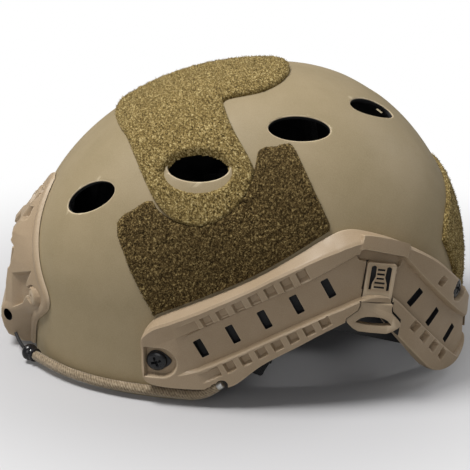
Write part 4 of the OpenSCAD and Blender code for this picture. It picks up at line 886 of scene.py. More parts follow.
def clip_cutters(mirror):
    """Guide for the tongue, the window in front of it, and the room for the hook's neck."""
    o, x, y, z = clip_axes()
    plane = (o, x, z, y)
    half, deep = CLIP_WIDTH / 2 + CLIP_GAP, CLIP_THICK / 2 + CLIP_GAP
    groove = CLIP_GAP + 0.45
    flare = [(p[0] * HOOK_WIDTH / 2 + groove, groove - HOOK_DROP - p[1] * HOOK_HEIGHT)
             for p in HOOK_OUTLINE[:6]]
    path = [(-p[0], p[1]) for p in flare] + [(-flare[5][0], -60), (flare[5][0], -60)]
    path += flare[::-1]
    guide = prism(block(half + 0.4, -60, CLIP_TOP + CLIP_GAP), plane, -deep, deep)
    window = prism(block(half + 1.2, 3.4, CLIP_TOP + 1.6), plane, -20, 0)
    # The neck's room ends a little short of the guide's back, so that no thin face is left
    neck = prism(path, plane, -20, deep - 0.03)
    # The faces that the guide and the neck's room leave are black, as painted shade
    return [cutter(*guide, mirror, dark=True), cutter(*window, mirror),
            cutter(*neck, mirror, dark=True)]


def rounded_outline(points, radius):
    """Outline with each corner rounded by up to radius."""
    p = np.array(points, float)
    out = []
    for k in range(len(p)):
        a, b, c = p[k - 1], p[k], p[(k + 1) % len(p)]
        la, lc = np.linalg.norm(a - b), np.linalg.norm(c - b)
        r = min(radius, la * 0.45, lc * 0.45)
        s, e = b + (a - b) / la * r, b + (c - b) / lc * r
        for f in np.linspace(0, 1, 5):
            out.append((1 - f) ** 2 * s + 2 * f * (1 - f) * b + f * f * e)
    return np.array(out)


def notch_cutters(mirror):
    """Notch in the rail's lower edge for the rear end of the brim cord."""
    return [drill(rail_axes(spot), CORD_NOTCH_R, -20, 20, 40, mirror) for spot in CORD_NOTCH_SPOTS]


def slot_cutters(mirror):
    """Slots with rounded corners, down to a floor a little above the shell that is black as painted
    shade.
    """
    found = []
    outline = rounded_outline(block(SLOT_WIDTH / 2, -SLOT_LENGTH / 2, SLOT_LENGTH / 2), 0.8)
    for spots, angle in ((run((-48.3, 36.8), ROW_ANGLE, SLOT_PITCH, 5), ARM_ANGLE),
                         (run((75.3, 60.4), REAR_ROW_ANGLE, 1.04 * SLOT_PITCH, 3), REAR_ANGLE)):
        for spot in spots:
            o, x, y, n = rail_axes(spot)
            plane = (o, *rotate(x, y, angle), n)
            plug = prism(outline, plane, SLOT_FLOOR - RAIL_REF, 4)
            found.append(cutter(*plug, mirror, dark=True))
    return found


def rail_relief(p, y, off):
    """Stand-offs of the rail's face with its facet, pockets, screw seats and rounded ends."""
    u, v = local(p, FACET_SPOT, BRIDGE_ANGLE)
    depth = rect_depth(u, v, 14.75, 4.9, 0.3)
    facet = FACET_OFF + 0.05 * v
    off = np.where((depth > 0) & (off > 5), off + (facet - off) * np.clip(depth / 0.5, 0, 1), off)
    u, v = local(p, UNDERCUT_SPOT, BRIDGE_ANGLE)
    off = sink(off, rect_depth(u, v, 14.2, 3.4, 2.6), 0.6, UNDERCUT_OFF)

    def pockets(spots, angle, half_x=POCKET / 2, sill=0.0, taper=False):
        """Square pockets. A sill slopes the lower wall, and a taper the front half."""
        nonlocal off
        for spot in spots:
            u, v = local(p, spot, angle)
            hy = POCKET / 2
            share = np.minimum((half_x - np.abs(u)) / 0.45, (hy - v) / 0.45)
            share = np.minimum(share, (v + hy + 0.8 * sill) / (0.5 + sill))
            if taper:
                share = np.minimum(share, (u + half_x) / (2.2 * half_x))
            share = np.where(near(u, v, 14), np.clip(share, 0, 1), 0)
            off = off - POCKET_DEPTH * share

    pockets(run((-44.8, 55.3), ROW_ANGLE, PITCH, 7), ARM_ANGLE, sill=2.3)
    pockets(run((-32, 27.3), ROW_ANGLE, PITCH, 7), ARM_ANGLE)
    pockets(run((73.4, 44.3), REAR_ROW_ANGLE, 1.06 * PITCH, 4), REAR_ANGLE)
    pockets([(89.7, 67.0)], REAR_ANGLE, half_x=2.3)
    pockets([(-55.5, 49.8)], ARM_ANGLE, 1.1 * POCKET, sill=2.3, taper=True)
    pockets([(-43.4, 21.6)], ARM_ANGLE, 1.1 * POCKET, taper=True)

    u, v = local(p, RAIL_SPOTS[0], 0)
    r = FRONT_SEAT_R
    seat = np.maximum(r - np.hypot(u - 2.8, v), rect_depth(u + 2.1, v, 4.9, r, 0.4))
    off = sink(off, np.where(near(u, v, 20), seat, -1), 0.9, SCREW_SEAT)
    u, v = local(p, RAIL_SPOTS[1], 0)
    seat = REAR_SEAT_R - np.hypot(u, v)
    off = sink(off, np.where(near(u, v, 20), seat, -1), 0.7, SCREW_SEAT)

    # Rounded ends
    for edge, radius in ((y - RAIL_FRONT, 2.6), (RAIL_REAR - y, 2.2)):
        off = off - edge_drop(edge, radius)
    return np.maximum(off, 0.6)


def build_rail(mirror):
    """Rail over the side grid, with its openings cut."""
    y, z, off = rail_grid()
    rows, cols = y.shape
    p = side_pt(y, z, RAIL_REF)
    n = normal(p, RAIL_REF)
    off = rail_relief(p, y, off)
    outer = layer(p, n, RAIL_REF, off)
    inner_rows = [0, 8, 20, 36, 52, 70, 84, rows - 1]
    inner = layer(p[inner_rows], n[inner_rows], RAIL_REF, SEAT)
    points = np.vstack([outer.reshape(-1, 3), inner.reshape(-1, 3)])
    s = rows * cols
    faces = grid_faces(rows, cols) + grid_faces(len(inner_rows), cols, start=s, flip=True)
    last = s + (len(inner_rows) - 1) * cols
    for j in range(cols - 1):
        faces += [[s + j, s + j + 1, j + 1, j]]
        faces += [[last + j + 1, last + j, (rows - 1) * cols + j, (rows - 1) * cols + j + 1]]
    for j in (0, cols - 1):
        ring = [i * cols + j for i in range(rows)]
        ring += [s + i * cols + j for i in range(len(inner_rows) - 1, -1, -1)]
        faces += [ring if j else ring[::-1]]
    name = side_name(mirror) + "_rail_body"
    rail = mesh_piece(name, points, faces, [PLASTIC, INNER_BLACK_AND_PAINTED_SHADE], mirror=mirror)
    clean(rail, 0.004, 30)
    cut(rail, clip_cutters(mirror) + notch_cutters(mirror) + slot_cutters(mirror), 30)
    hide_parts("right_rail" if mirror else "left_rail")


for mirror in (False, True):
    build_rail(mirror)


# Strap clips
def bevelled(obj, width):
    """Rounds the sharp edges by width millimetres."""
    m = obj.modifiers.new("bevel", "BEVEL")
    m.width, m.segments, m.limit_method = width * MM, 2, "ANGLE"
    m.angle_limit = math.radians(35)
    apply_modifiers(obj)
    shade(obj, 40)


def build_clip(mirror):
    """Clip of a flat tongue and a thicker hook with its eye."""
    o, x, y, z = clip_axes()
    plane = (o, x, z, y)

    def hook_points(shape):
        return [(a * HOOK_WIDTH / 2, -HOOK_DROP - b * HOOK_HEIGHT) for a, b in shape]

    tongue = rounded_outline(block(CLIP_WIDTH / 2, -CLIP_NECK, CLIP_TOP), 1.6)
    name = side_name(mirror) + "_clip"
    obj = mesh_piece(name + "_body", *prism(tongue, plane, -CLIP_THICK / 2, CLIP_THICK / 2),
                     [PLASTIC, INNER_BLACK_AND_PAINTED_SHADE], body=name, mirror=mirror)
    clean(obj, 0.001)
    shape = hook_points(HOOK_OUTLINE)
    shape += [(-a, b) for a, b in shape[-2::-1]]
    hook = mesh_piece("hook", *prism(rounded_outline(shape, 0.7), plane,
                                     CLIP_THICK / 2 - HOOK_STAND, CLIP_THICK / 2),
                      PLASTIC, body=None, mirror=mirror)
    clean(hook, 0.001)
    m = obj.modifiers.new("union", "BOOLEAN")
    m.operation, m.solver, m.object = "UNION", "EXACT", hook
    apply_modifiers(obj)
    bpy.data.objects.remove(hook)
    eye = hook_points(HOOK_EYE)
    eye += [(-a, b) for a, b in eye[-2:0:-1]]
    cutters = [cutter(*prism(rounded_outline(eye, 0.8), plane, -20, 20), mirror)]
    # Recesses on both sides of the tongue's waisted leg, and five grooves across the leg, with
    # floors black as painted shade
    front = -CLIP_THICK / 2
    left = [(-5.7, 3.9), (-4.3, 3.9), (-4.2, 7.5), (-2.7, 11.5), (-3.0, 17.2), (-4.2, 17.9),
            (-5.7, 17.0)]
    recesses = [(left, 2.1), ([(-a, b) for a, b in left[::-1]], 2.1)]
    for i in range(5):
        low = 4.9 + i * 2.55
        recesses.append((block(2.9 if i < 2 else 2.1, low, low + 1.1), 1.1))
    for shape, deep in recesses:
        cutters.append(cutter(*prism(shape, plane, -5, front + deep), mirror, dark=True))
    cut(obj, cutters)
    bevelled(obj, 0.22)
    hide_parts("right_strap_clip" if mirror else "left_strap_clip")


for mirror in (False, True):
    build_clip(mirror)


# Shroud
SHROUD_SEAT = SEAT + 0.25
# Half width of the shroud's outline by height
SHROUD_WIDTH = [(3, 21), (6, 22), (9, 24), (18, 28.5), (25, 33.5), (32, 43), (38, 49), (44, 51),
                (50, 49.5), (56, 46), (64, 41), (74, 34.5), (83, 27.5), (91, 20.5), (98, 14.5),
                (103, 9), (105.5, 5.5)]
# Ridge between the front and the flanks, as stand-off ahead of the shell and height
SHROUD_LINE = [(8.5, 4.5), (15.5, 8), (18, 13.5), (19.4, 20.5), (19, 26.5), (16.4, 31), (15, 44),
               (13.4, 53), (12, 62), (10.9, 70), (9.5, 75), (-0.7, 88.2), (-8.8, 99.2),
               (-15.4, 104), (-17.5, 105.5)]
SHROUD_RIDGE = [(60, 17), (76, 14), (91, 9.5), (105.5, 3)]
SHROUD_SPOTS = [(0.0, 94.5), (39.0, 43.0)]
# Places of all three screws, where the lower one repeats on the far side
SHROUD_SCREWS = SHROUD_SPOTS + [(-SHROUD_SPOTS[1][0], SHROUD_SPOTS[1][1])]
SHROUD_REF, BOSS_R, BOSS_TOP, SHROUD_HEAD_R = 6.0, 5.8, -1.1, 4.1
# Pockets: outline seen from the front, depth and width of the sloped walls
SHROUD_POCKETS = [
    ([(21.5, 28.5), (29, 34.5), (33.5, 42), (33, 50), (35.5, 58), (21, 51)], 5.5, 1.6),
    ([(9, 52), (17.6, 52.5), (19.4, 60), (19.2, 66.5), (14.5, 70.5), (9, 70)], 4.5, 1.3),
    ([(7, 81.5), (15, 82), (15.6, 84), (11.8, 90), (7, 89)], 4.2, 1.0),
    ([(2, 92.5), (9, 93), (7.8, 98.5), (4, 100.5)], 3.0, 0.9)]
NOSE_HOLE_SPOT, NOSE_HOLE_SIZE, NOSE_HOLE_TILT = (15.0, 22.3), (2.5, 4.2), 12
STRIP_WIDTH, STRIP_OFF, FLANK_OFF = 3.9, 3.1, 2.0


def shroud_axes(spot):
    return face_axes(front_pt(*spot, SHROUD_REF), SHROUD_REF)


def shroud_grid():
    """The shroud seen from the front: x, the outer face's y, z, and the back's y."""
    width = smooth_line([(w, z) for z, w in SHROUD_WIDTH], 3)
    width = np.stack([width[:, 1], width[:, 0]], -1)
    z = np.linspace(SHROUD_WIDTH[0][0], SHROUD_WIDTH[-1][0], 256)[:, None]
    x = np.arange(-51.2, 51.21, 0.4)[None, :]
    half = lookup(z, width)
    x = np.clip(x, -half, half)
    z = np.broadcast_to(z, x.shape)
    a = np.abs(x)
    outline = np.vstack([width[:, ::-1], (width[:, ::-1] * [-1, 1])[::-1]])
    edge = np.maximum(polygon_depth(x, z, outline), 0)

    # Raised border strip, with the flank's foot a little lower inside it
    strip = STRIP_OFF - (STRIP_OFF - FLANK_OFF) * np.clip((edge - STRIP_WIDTH) / 0.7, 0, 1)
    shell_y = front_pt(x, z, 1.0)[..., 1]
    plate = shell_y - (strip - 1.0)
    line = np.array(SHROUD_LINE, float)
    ridge_y = -FRONT - np.interp(z, line[:, 1], line[:, 0])
    ridge = lookup(z, SHROUD_RIDGE)
    foot_x = np.maximum(half - STRIP_WIDTH - 1.4, ridge + 1)
    foot_y = front_pt(foot_x[:, :1], z[:, :1], 1)[..., 1] - (FLANK_OFF - 1.0)
    share = (a - ridge) / (foot_x - ridge)
    body = ridge_y + np.clip(share, 0, 1) * (foot_y - ridge_y)
    body = np.where(share < 1, body, 1e3)
    y = np.minimum(plate, body)
    back = front_pt(x, z, 0)[..., 1] - SHROUD_SEAT

    def dig(depth, deep, wall):
        lowered = y + deep * np.clip(depth / wall, 0, 1)
        return np.where(depth > 0, np.minimum(lowered, back - 0.9), y)

    for outline, deep, wall in SHROUD_POCKETS:
        y = dig(polygon_depth(a, z, outline), deep, wall)
    floor = -FRONT - 5
    for depth in (rect_depth(x, z - 54, 15, 20, 2.0), rect_depth(x, z - 77, 6, 5.5, 1.5)):
        y = np.where(depth > 0, y + (np.maximum(y, floor) - y) * np.clip(depth / 0.6, 0, 1), y)
    # Ribs on the socket's floor
    for h in (42, 50, 58, 66):
        rib = rect_depth(x, z - h, 11, 1.1, 0.5)
        y = np.where(rib > 0, y - np.clip(rib / 0.5, 0, 1) * 1.2, y)
    for spot in SHROUD_SPOTS:
        o, ux, uy, n = shroud_axes(spot)

        def plane(h):
            return (h + n @ o - n[0] * a - n[2] * z) / n[1]

        p = np.stack([a, plane(BOSS_TOP), z], -1) - o
        r = np.hypot(p @ ux, p @ uy)
        boss = plane(BOSS_TOP) + np.clip(r - BOSS_R + 0.9, 0, 0.9)
        moat = np.maximum(y, plane(BOSS_TOP - 1.6))
        y = np.where(r < BOSS_R, boss, np.where(r < BOSS_R + 0.9, moat, y))
    y = y + 0.9 * edge_drop(edge, 1.5)
    return x, np.minimum(y, back - 0.5), z, back


def build_shroud():
    """Shroud from its outer face back to the shell, with its nose hole and screw holes."""
    x, y, z, back = shroud_grid()
    rows, cols = x.shape
    outer = np.stack([x, y, z], -1)
    keep = sorted(set(range(0, cols, 12)) | {cols - 1})
    inner = np.stack([x, back, z], -1)[:, keep]
    points = np.vstack([outer.reshape(-1, 3), inner.reshape(-1, 3)])
    s, m = rows * cols, len(keep)
    faces = grid_faces(rows, cols) + grid_faces(rows, m, start=s, flip=True)
    for i in range(rows - 1):
        a0, b0 = i * cols, s + i * m
        faces += [[a0, a0 + cols, b0 + m, b0]]
        a1, b1 = i * cols + cols - 1, s + i * m + m - 1
        faces += [[a1 + cols, a1, b1, b1 + m]]
    for i in (0, rows - 1):
        ring = [i * cols + j for j in range(cols)] + [s + i * m + j for j in range(m - 1, -1, -1)]
        faces += [ring[::-1] if i == 0 else ring]
    obj = mesh_piece("shroud_body", points, faces, [PLASTIC, INNER_BLACK_AND_PAINTED_SHADE])
    clean(obj, 0.004, 38)
    # The nose hole runs from side to side, and its wall is black as painted shade
    t = circle(48)
    u, v = NOSE_HOLE_SIZE[0] * np.cos(t), NOSE_HOLE_SIZE[1] * np.sin(t)
    oval = np.stack(rotate(u, v, -NOSE_HOLE_TILT), -1)
    nose = ([0, -FRONT - NOSE_HOLE_SPOT[0], NOSE_HOLE_SPOT[1]], [0, 1, 0], [0, 0, 1], [1, 0, 0])
    cutters = [cutter(*prism(oval, nose, -60, 60), dark=True)]
    for spot in SHROUD_SCREWS:
        cutters += [drill(shroud_axes(spot), SHROUD_HEAD_R + 0.25, BOSS_TOP - 2.0, 20, 48),
                    drill(shroud_axes(spot), 2.9, -20, BOSS_TOP - 1.9)]
    cut(obj, cutters, 38)
    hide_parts("shroud")


def build_shroud_screws():
    """Flush screw heads with a small socket, and their shanks."""
    top = BOSS_TOP
    head = [(0.02, top - 1.9), (SHROUD_HEAD_R, top - 1.9), (SHROUD_HEAD_R, top - 0.35),
            (SHROUD_HEAD_R - 0.35, top), (1.05, top + 0.12), (0.9, top), (0.9, top - 1.2),
            (0.02, top - 1.2)]
    for k, spot in enumerate(SHROUD_SCREWS):
        axes = shroud_axes(spot)
        screw = mesh_piece(f"shroud_screw_{k}", *lathe(head, axes, 56), PLASTIC, smooth=40)
        shank = [(0.02, -19), (2.3, -19), (2.5, -18.7), (2.5, top - 1.9), (0.02, top - 1.9)]
        mesh_piece(f"shroud_screw_shank_{k}", *lathe(shank, axes, 24), STEEL, smooth=40)
        if not k:
            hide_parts("shroud_screws")


build_shroud()
build_shroud_screws()


# Loop patches: how thick they are and how many loose strands they have
TOP_PILE, LOW_PILE = (2.8, 9500), (2.2, 5200)
TOP_FRONT = smooth_line([(0, -93), (14, -91), (22.4, -87), (36.2, -81), (44.7, -76.2),
                         (50.3, -72.3), (54.1, -68.5), (57.4, -62.8), (59.6, -55.1), (60.4, -47)])
TOP_REAR = smooth_line([(0, 11), (4, 10.4), (8, 8), (12, 4), (15, -1.5), (17.5, -9), (18.6, -20),
                        (19.2, -31.5), (24, -30.5), (30.5, -27.6), (37.1, -22.2), (42.2, -17.8),
                        (45.2, -16.4), (48.3, -17.4), (52.3, -21.6), (56.7, -29.7), (59.5, -38.6),
                        (60.4, -47)], 1)
SIDE_TOP = [(-93, 101), (-91, 104.8), (-88, 107.6), (-73, 115), (-71, 110.2), (-66, 107),
            (-60, 104.5), (-54, 103.4), (-48, 103.4), (-40, 105.6), (-33, 108.9), (-27, 113.4),
            (-22, 119.8), (-17.5, 128), (-15, 136), (-13.5, 141), (2, 145), (5, 144.4),
            (7.5, 141), (15, 125), (24, 105.9)]
SIDE_LIFT = [(-84, 0), (-76, 1.8), (-12, 1.8), (-4, 0)]
SIDE_FRONT = [(-93, 96), (-86, 77), (-78.5, 61.5), (-74, 54)]
REAR_TOP = [(0, 108), (20, 107), (36, 103.5), (50, 99), (57, 95.5), (63, 90), (67, 84)]
REAR_LOW = [(0, 30), (34, 31), (42, 35), (50, 43), (58, 56), (63, 68), (67, 82)]
EDGE_ROUND = 1.7


def build_pile(name, node, base, depth, size, material=PILE, mirror=False):
    """Pile patch over a grid of points on the shell. depth is the distance inside its outline."""
    thick, strands = size
    n = normal(base, 0.5)
    rows, cols = depth.shape
    d = np.clip(depth / EDGE_ROUND, 0, 1)
    rise = thick * np.sqrt(1 - (1 - d) ** 2) - 1.0 * np.clip(-depth, 0, 1)
    tall = rng.random(depth.shape)
    jitter = rng.normal(0, 0.2, (*depth.shape, 3)) * d[..., None]
    loops = (tall - 0.55) * 0.75 * np.clip(depth / 0.8, 0, 1)
    top = layer(base, n, 0, np.maximum(0.05 + rise + loops, -1)) + jitter
    bottom = layer(base, n, 0, np.where(depth > -0.1, 0.02, -1.05))
    s = rows * cols
    quads = np.array(grid_faces(rows, cols))
    used = (depth.reshape(-1)[quads] > -0.9).any(1)
    quads = quads[used]
    faces = [list(f) for f in quads] + [list(f[::-1] + s) for f in quads]
    edges = {}
    for f in quads:
        for a, b in zip(f, np.roll(f, -1)):
            edges[(int(a), int(b))] = edges.get((int(a), int(b)), 0) + 1
    for a, b in edges:
        if (b, a) not in edges:
            faces.append([b, a, a + s, b + s])
    # Tone follows each loop's height, so that lower loops are darker, as painted shade between the
    # loops
    tone = [0.25 + 0.6 * tall.reshape(-1), 0.2 * np.ones(s)]
    parts = [(np.vstack([top.reshape(-1, 3), bottom.reshape(-1, 3)]), faces)]

    # Loose strands that stand out of the pile
    pick = rng.permutation(np.flatnonzero(depth.reshape(-1) > 0.15))[:strands]
    root, out = top.reshape(-1, 3)[pick], n.reshape(-1, 3)[pick]
    side = unit(np.cross(out, unit(rng.normal(size=out.shape))))
    lean = unit(rng.normal(size=out.shape)) * 0.5
    root = root + np.cross(out, side) * rng.uniform(-0.4, 0.4, (len(pick), 1)) - out * 0.3
    mid = root + out * 0.62 + lean * 0.35
    tip = mid + out * rng.uniform(0.1, 0.4, (len(pick), 1)) + lean * 0.75
    third = np.radians([0, 120, 240])
    wide = [np.cos(t) * side + np.sin(t) * np.cross(out, side) for t in third]
    ring = np.stack([root + w * 0.2 for w in wide] + [mid + w * 0.17 for w in wide] + [tip], 1)
    k = np.arange(len(pick))[:, None] * 7
    tris = [[0, 1, 4, 3], [1, 2, 5, 4], [2, 0, 3, 5], [3, 4, 6], [4, 5, 6], [5, 3, 6]]
    strand_faces = []
    for t in tris:
        strand_faces += (k + np.array(t)).tolist()
    parts.append((ring.reshape(-1, 3), strand_faces))
    tone.append(np.repeat(rng.uniform(0.3, 1.0, len(pick)), 7))
    points, faces = join(parts)
    obj = mesh_piece(name, points, faces, material, mirror=mirror, smooth=0)
    for f in obj.data.polygons:
        f.use_smooth = True
    store(obj, "pile", np.concatenate(tone))
    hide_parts(node)


# Millimetres on the shell for a degree round the top, and the step of the patches' grids
ARC, STEP = 1.83, 1.0


def between(u, low, high, start, stop):
    """Grid between two lines over u, and its points' distances inside them."""
    v = np.clip(np.arange(start, stop, STEP)[:, None], low, high)
    u_grid = np.broadcast_to(u, v.shape)
    outline = np.vstack([np.stack([u, low], -1), np.stack([u, high], -1)[::-1]])
    return u_grid, v, np.maximum(polygon_depth(u_grid, v, outline), 0)


def top_patch():
    """Top patch, drawn over angles from the top and the distance front to back."""
    b = np.arange(-60.4, 60.41, STEP / ARC)[:, None]
    y = np.arange(-93, 11.01, STEP)[None, :]
    y = np.clip(y, lookup(abs(b), TOP_FRONT), lookup(abs(b), TOP_REAR))
    b = np.broadcast_to(b, y.shape)
    half = np.vstack([TOP_FRONT, TOP_REAR[::-1]]) * [ARC, 1]
    outline = np.vstack([half, (half * [-1, 1])[::-1]])
    depth = polygon_depth(b * ARC, y, outline)
    base = girdle_pt(-b, y, 0)
    # The patch gives way to the second vent, on both sides
    q = base.copy()
    q[..., 0] = np.abs(q[..., 0])
    o, ux, uy, _ = face_axes(VENTS[1][0], 0)
    u, v = rotate((q - o) @ ux, (q - o) @ uy, VENTS[1][1])
    long, wide = VENT_LENGTH / 2 + 2, VENT_WIDTH / 2 + 0.6 + VENT_MARGIN / 2
    r = np.hypot(u / long, (v + VENT_MARGIN / 2) / wide)
    gap = (r - 1) * wide * (1 + 0.3 * (np.abs(u) / long) ** 2)
    build_pile("top_pile", "top_patch", base[::-1], np.minimum(depth, gap)[::-1], TOP_PILE)


def side_patch(mirror):
    y = np.arange(-93, 24.01, STEP)
    low = np.maximum(lookup(y, RAIL_TOP) + 0.1, np.where(y < -74, lookup(y, SIDE_FRONT), 0))
    high = np.maximum(lookup(y, smooth_line(SIDE_TOP, 1)) + lookup(y, SIDE_LIFT), low + 0.4)
    y, z, depth = between(y, low, high, 50, 146)
    name = side_name(mirror) + "_side_"
    # The side patches get the darker pile, as painted shade
    build_pile(name + "pile", name + "patch", side_pt(y, z, 0), depth, LOW_PILE, PILE_PAINTED_SHADE,
               mirror)


def rear_patch():
    x = np.arange(-67, 67.01, STEP)
    low, high = lookup(abs(x), smooth_line(REAR_LOW)), lookup(abs(x), smooth_line(REAR_TOP))
    high = np.maximum(high, low + 0.3)
    x, z, depth = between(x, low, high, 30, 109)
    build_pile("rear_pile", "rear_patch", rear_pt(x, z, 0)[:, ::-1], depth[:, ::-1], LOW_PILE)


top_patch()
side_patch(False)
side_patch(True)
rear_patch()


# Brim cord, with its hook, lanyard and ferrule
CORD_D, BRAID_STRANDS, BRAID_PITCH = 6.0, 7, 1.7
# Plan angle, height and stand-off of each station
CORD_SPOTS = [(24.9, 6.5, 6.3), (27.8, 6.6, 5.5), (32.6, 6.7, 4.7), (37.8, 6.4, 4.1),
              (42.7, 6.3, 3.7), (48.1, 6.1, 3.4), (54.2, 6.3, 3.3), (60.4, 6.4, 3.3),
              (66, 6.3, 3.5), (70.5, 6.6, 4.2), (73.2, 8.9, 5.0), (75.7, 13.6, 5.9)]
CORD_ROUTE = [at_height(np.radians(t), z, off) for t, z, off in CORD_SPOTS]
LANYARD_FOOT = (19, -159, 9.4)


def axes_along(a, b):
    """Frame at a whose z axis points to b."""
    z = unit(np.array(b, float) - a)
    x = unit(np.cross(z, [0, 0, 1.0]))
    return np.array(a, float), x, np.cross(z, x), z


# The braid: strands that run round the cord, and picks across them
def ridges(along, around):
    return np.cos(BRAID_STRANDS * around + along * 0.22)


def picks(along, around):
    return np.cos(along * 2 * np.pi / BRAID_PITCH + BRAID_STRANDS * around)


def braid(along, around):
    return 1 + 0.012 * ridges(along, around) + 0.03 * picks(along, around)


def build_cord(mirror):
    """Cord in its braided sheath, with the ball hook, the lanyard and the ferrule."""
    side, sides = side_name(mirror), 28
    route = spline(CORD_ROUTE, 620)
    sheath = tube(route, CORD_D / 2 * 0.95, sides, braid)
    obj = mesh_piece(side + "_brim_cord_sheath", *sheath, CORD, smooth=60, mirror=mirror)
    along, around = path_lengths(route)[:, None], circle(sides)
    fuzz = value_noise(along / 0.8 + 0 * around, 0 * along + around * 4, 5) - 0.5
    tone = 0.52 + 0.07 * ridges(along, around) + 0.16 * picks(along, around) + 0.45 * fuzz
    store(obj, "braid", tone)
    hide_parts(side + "_brim_cord")

    a = np.array(CORD_ROUTE[0], float)
    way = unit(a - np.array(CORD_ROUTE[1], float))
    axes = axes_along(a, a + way)
    hook = [(0.02, 0), (3.4, 0), (4.1, 0.4), (4.3, 1.2), (3.9, 1.9), (3.2, 2.4), (3.3, 2.8)]
    hook += [(5.1 * math.sin(t), 6.5 - 4.1 * math.cos(t)) for t in np.radians(range(44, 166, 9))]
    hook += [(1.4, 10.6), (1.3, 11.0), (0.9, 11.2), (0.02, 11.2)]
    obj = mesh_piece(side + "_hook_ball", *lathe(hook, axes, 40), SCREW, smooth=45, mirror=mirror)
    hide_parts(side + "_cord_hook")

    tip = a + way * 11.6
    foot = np.array(LANYARD_FOOT, float)
    middle = (tip + foot) / 2 + [0.3, -0.4, -0.5]
    obj = mesh_piece(side + "_lanyard", *tube(spline([tip, middle, foot], 40), 1.05, 12), RUBBER,
                     smooth=60, mirror=mirror)
    if not mirror:
        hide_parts("hook_lanyards")

    end = np.array(CORD_ROUTE[-1], float)
    way = unit(end - np.array(CORD_ROUTE[-2], float))
    r = CORD_D / 2 - 0.5
    cap = [(0.02, 0.0), (r, 0), (r, 2.6), (r * 0.93, 3.2), (r * 0.7, 3.55), (0.02, 3.6)]
    obj = mesh_piece(side + "_ferrule", *lathe(cap, axes_along(end, end + way), 32), BRIGHT,
                     smooth=40, mirror=mirror)
    if not mirror:
        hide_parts("cord_ferrules")


build_cord(False)
build_cord(True)


# Rail screws: domed heads with a deep cross and a drop-shaped washer
HEAD_R = 5.9


def build_screw(index, mirror):
    o, x, y, n = rail_axes(RAIL_SPOTS[index])
    o = o - n * (RAIL_REF - SCREW_SEAT)
    r = HEAD_R
    head = [(0.02, 0.9), (r * 0.97, 0.9), (r, 1.2), (r, 1.9)]
    head += [(r * math.cos(t) ** 0.8, 1.9 + 1.75 * math.sin(t))
             for t in np.radians(range(10, 90, 8))]
    head += [(0.02, 3.66)]
    name = f"{side_name(mirror)}_{'rear' if index else 'front'}_screw"
    obj = mesh_piece(name, *lathe(head, (o, x, y, n), 64), SCREW, smooth=40, mirror=mirror)
    cutters = []
    for k in range(2):
        u, v = rotate(x, y, 22 + 31 * index + 90 * k)
        blade = [(-3.3, 3.9), (-2.2, 1.7), (2.2, 1.7), (3.3, 3.9)]
        cutters.append(cutter(*prism(blade, (o, u, n, v), -0.75, 0.75), mirror))
    cut(obj, cutters, 40)
    t = circle(72)
    point = np.maximum(np.cos(t), 0) ** 6
    plate = np.stack([(r + 0.25) * np.cos(t) + 2.3 * point, (r + 0.25) * np.sin(t)], -1)
    washer = mesh_piece(name + "_washer", *prism(plate, (o, x, y, n), 0.1, 1.0), RUBBER,
                        mirror=mirror)
    clean(washer, 0.001, 40)
    bevelled(washer, 0.2)
    shank = [(0.02, -9.5), (2.2, -9.5), (2.4, -9.2), (2.4, 0.4), (0.02, 0.4)]
    mesh_piece(name + "_shank", *lathe(shank, (o, x, y, n), 24), STEEL, mirror=mirror)
    if not index and not mirror:
        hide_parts("rail_screws")


for mirror in (False, True):
    for index in (0, 1):
        build_screw(index, mirror)


# Foam pads: their thickness, the width of the rolled edge, and the seam along it
PAD_THICK, PAD_ROLL, SEAM_INSET, SEAM_WIDTH, SEAM_DEPTH = 15.0, 7.0, 3.0, 0.55, 0.55
# How far the corners are pulled round, and where the backs lie
PAD_CORNER, PAD_BACK = 0.16, -WALL - SEAT


def build_pad(name, node, spot, size, mirror=False):
    """Crowned pad: spot(u, v, off) gives points on the shell's layers, with u and v from 0 to 1."""
    rows, cols = 56, 72
    u, v = np.meshgrid(np.linspace(0, 1, rows), np.linspace(0, 1, cols), indexing="ij")
    su, sv = 2 * u - 1, 2 * v - 1
    ru, rv = su * np.sqrt(1 - PAD_CORNER * sv ** 6), sv * np.sqrt(1 - PAD_CORNER * su ** 6)
    w, h = size
    edge = np.minimum((1 - np.abs(su)) * w / 2, (1 - np.abs(sv)) * h / 2)
    d = np.clip(edge / PAD_ROLL, 0, 1)
    crown = (1 - (1 - d) ** 2.3) ** (1 / 2.3)
    puff = 1 - 0.1 * (su ** 2 + sv ** 2) / 2
    waves = value_noise(u * 5 + 3, v * 6 + 9, 11) - 0.5
    seam = np.exp(-((edge - SEAM_INSET) / SEAM_WIDTH) ** 2) * SEAM_DEPTH
    height = (PAD_THICK - 1.2) * crown * puff + waves * 0.9 * d - seam
    face = spot((ru + 1) / 2, (rv + 1) / 2, PAD_BACK - 0.15 - np.maximum(height, 0.35))
    back = spot((ru + 1) / 2, (rv + 1) / 2, PAD_BACK + 0 * height)
    points = np.vstack([face.reshape(-1, 3), back.reshape(-1, 3)])
    s = rows * cols
    faces = grid_faces(rows, cols, flip=True) + grid_faces(rows, cols, start=s)
    rim = [j for j in range(cols)] + [i * cols + cols - 1 for i in range(1, rows)]
    rim += [(rows - 1) * cols + j for j in range(cols - 2, -1, -1)]
    rim += [i * cols for i in range(rows - 2, 0, -1)]
    for a, b in zip(rim, rim[1:] + rim[:1]):
        faces.append([a, b, b + s, a + s])
    obj = mesh_piece(name, points, faces, FOAM, mirror=mirror, smooth=70)
    clean(obj, 0.002, 70)
    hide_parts(node)


def wall_spot(t0, t1, z0, z1):
    """Field of a wall pad between two plan angles and two heights."""
    def spot(u, v, off):
        return at_height(np.radians(t0 + (t1 - t0) * v), z0 + (z1 - z0) * u, off)
    return spot


def crown_spot(u, v, off):
    return top_pt(36 - 72 * u, -62 + 96 * v, off)


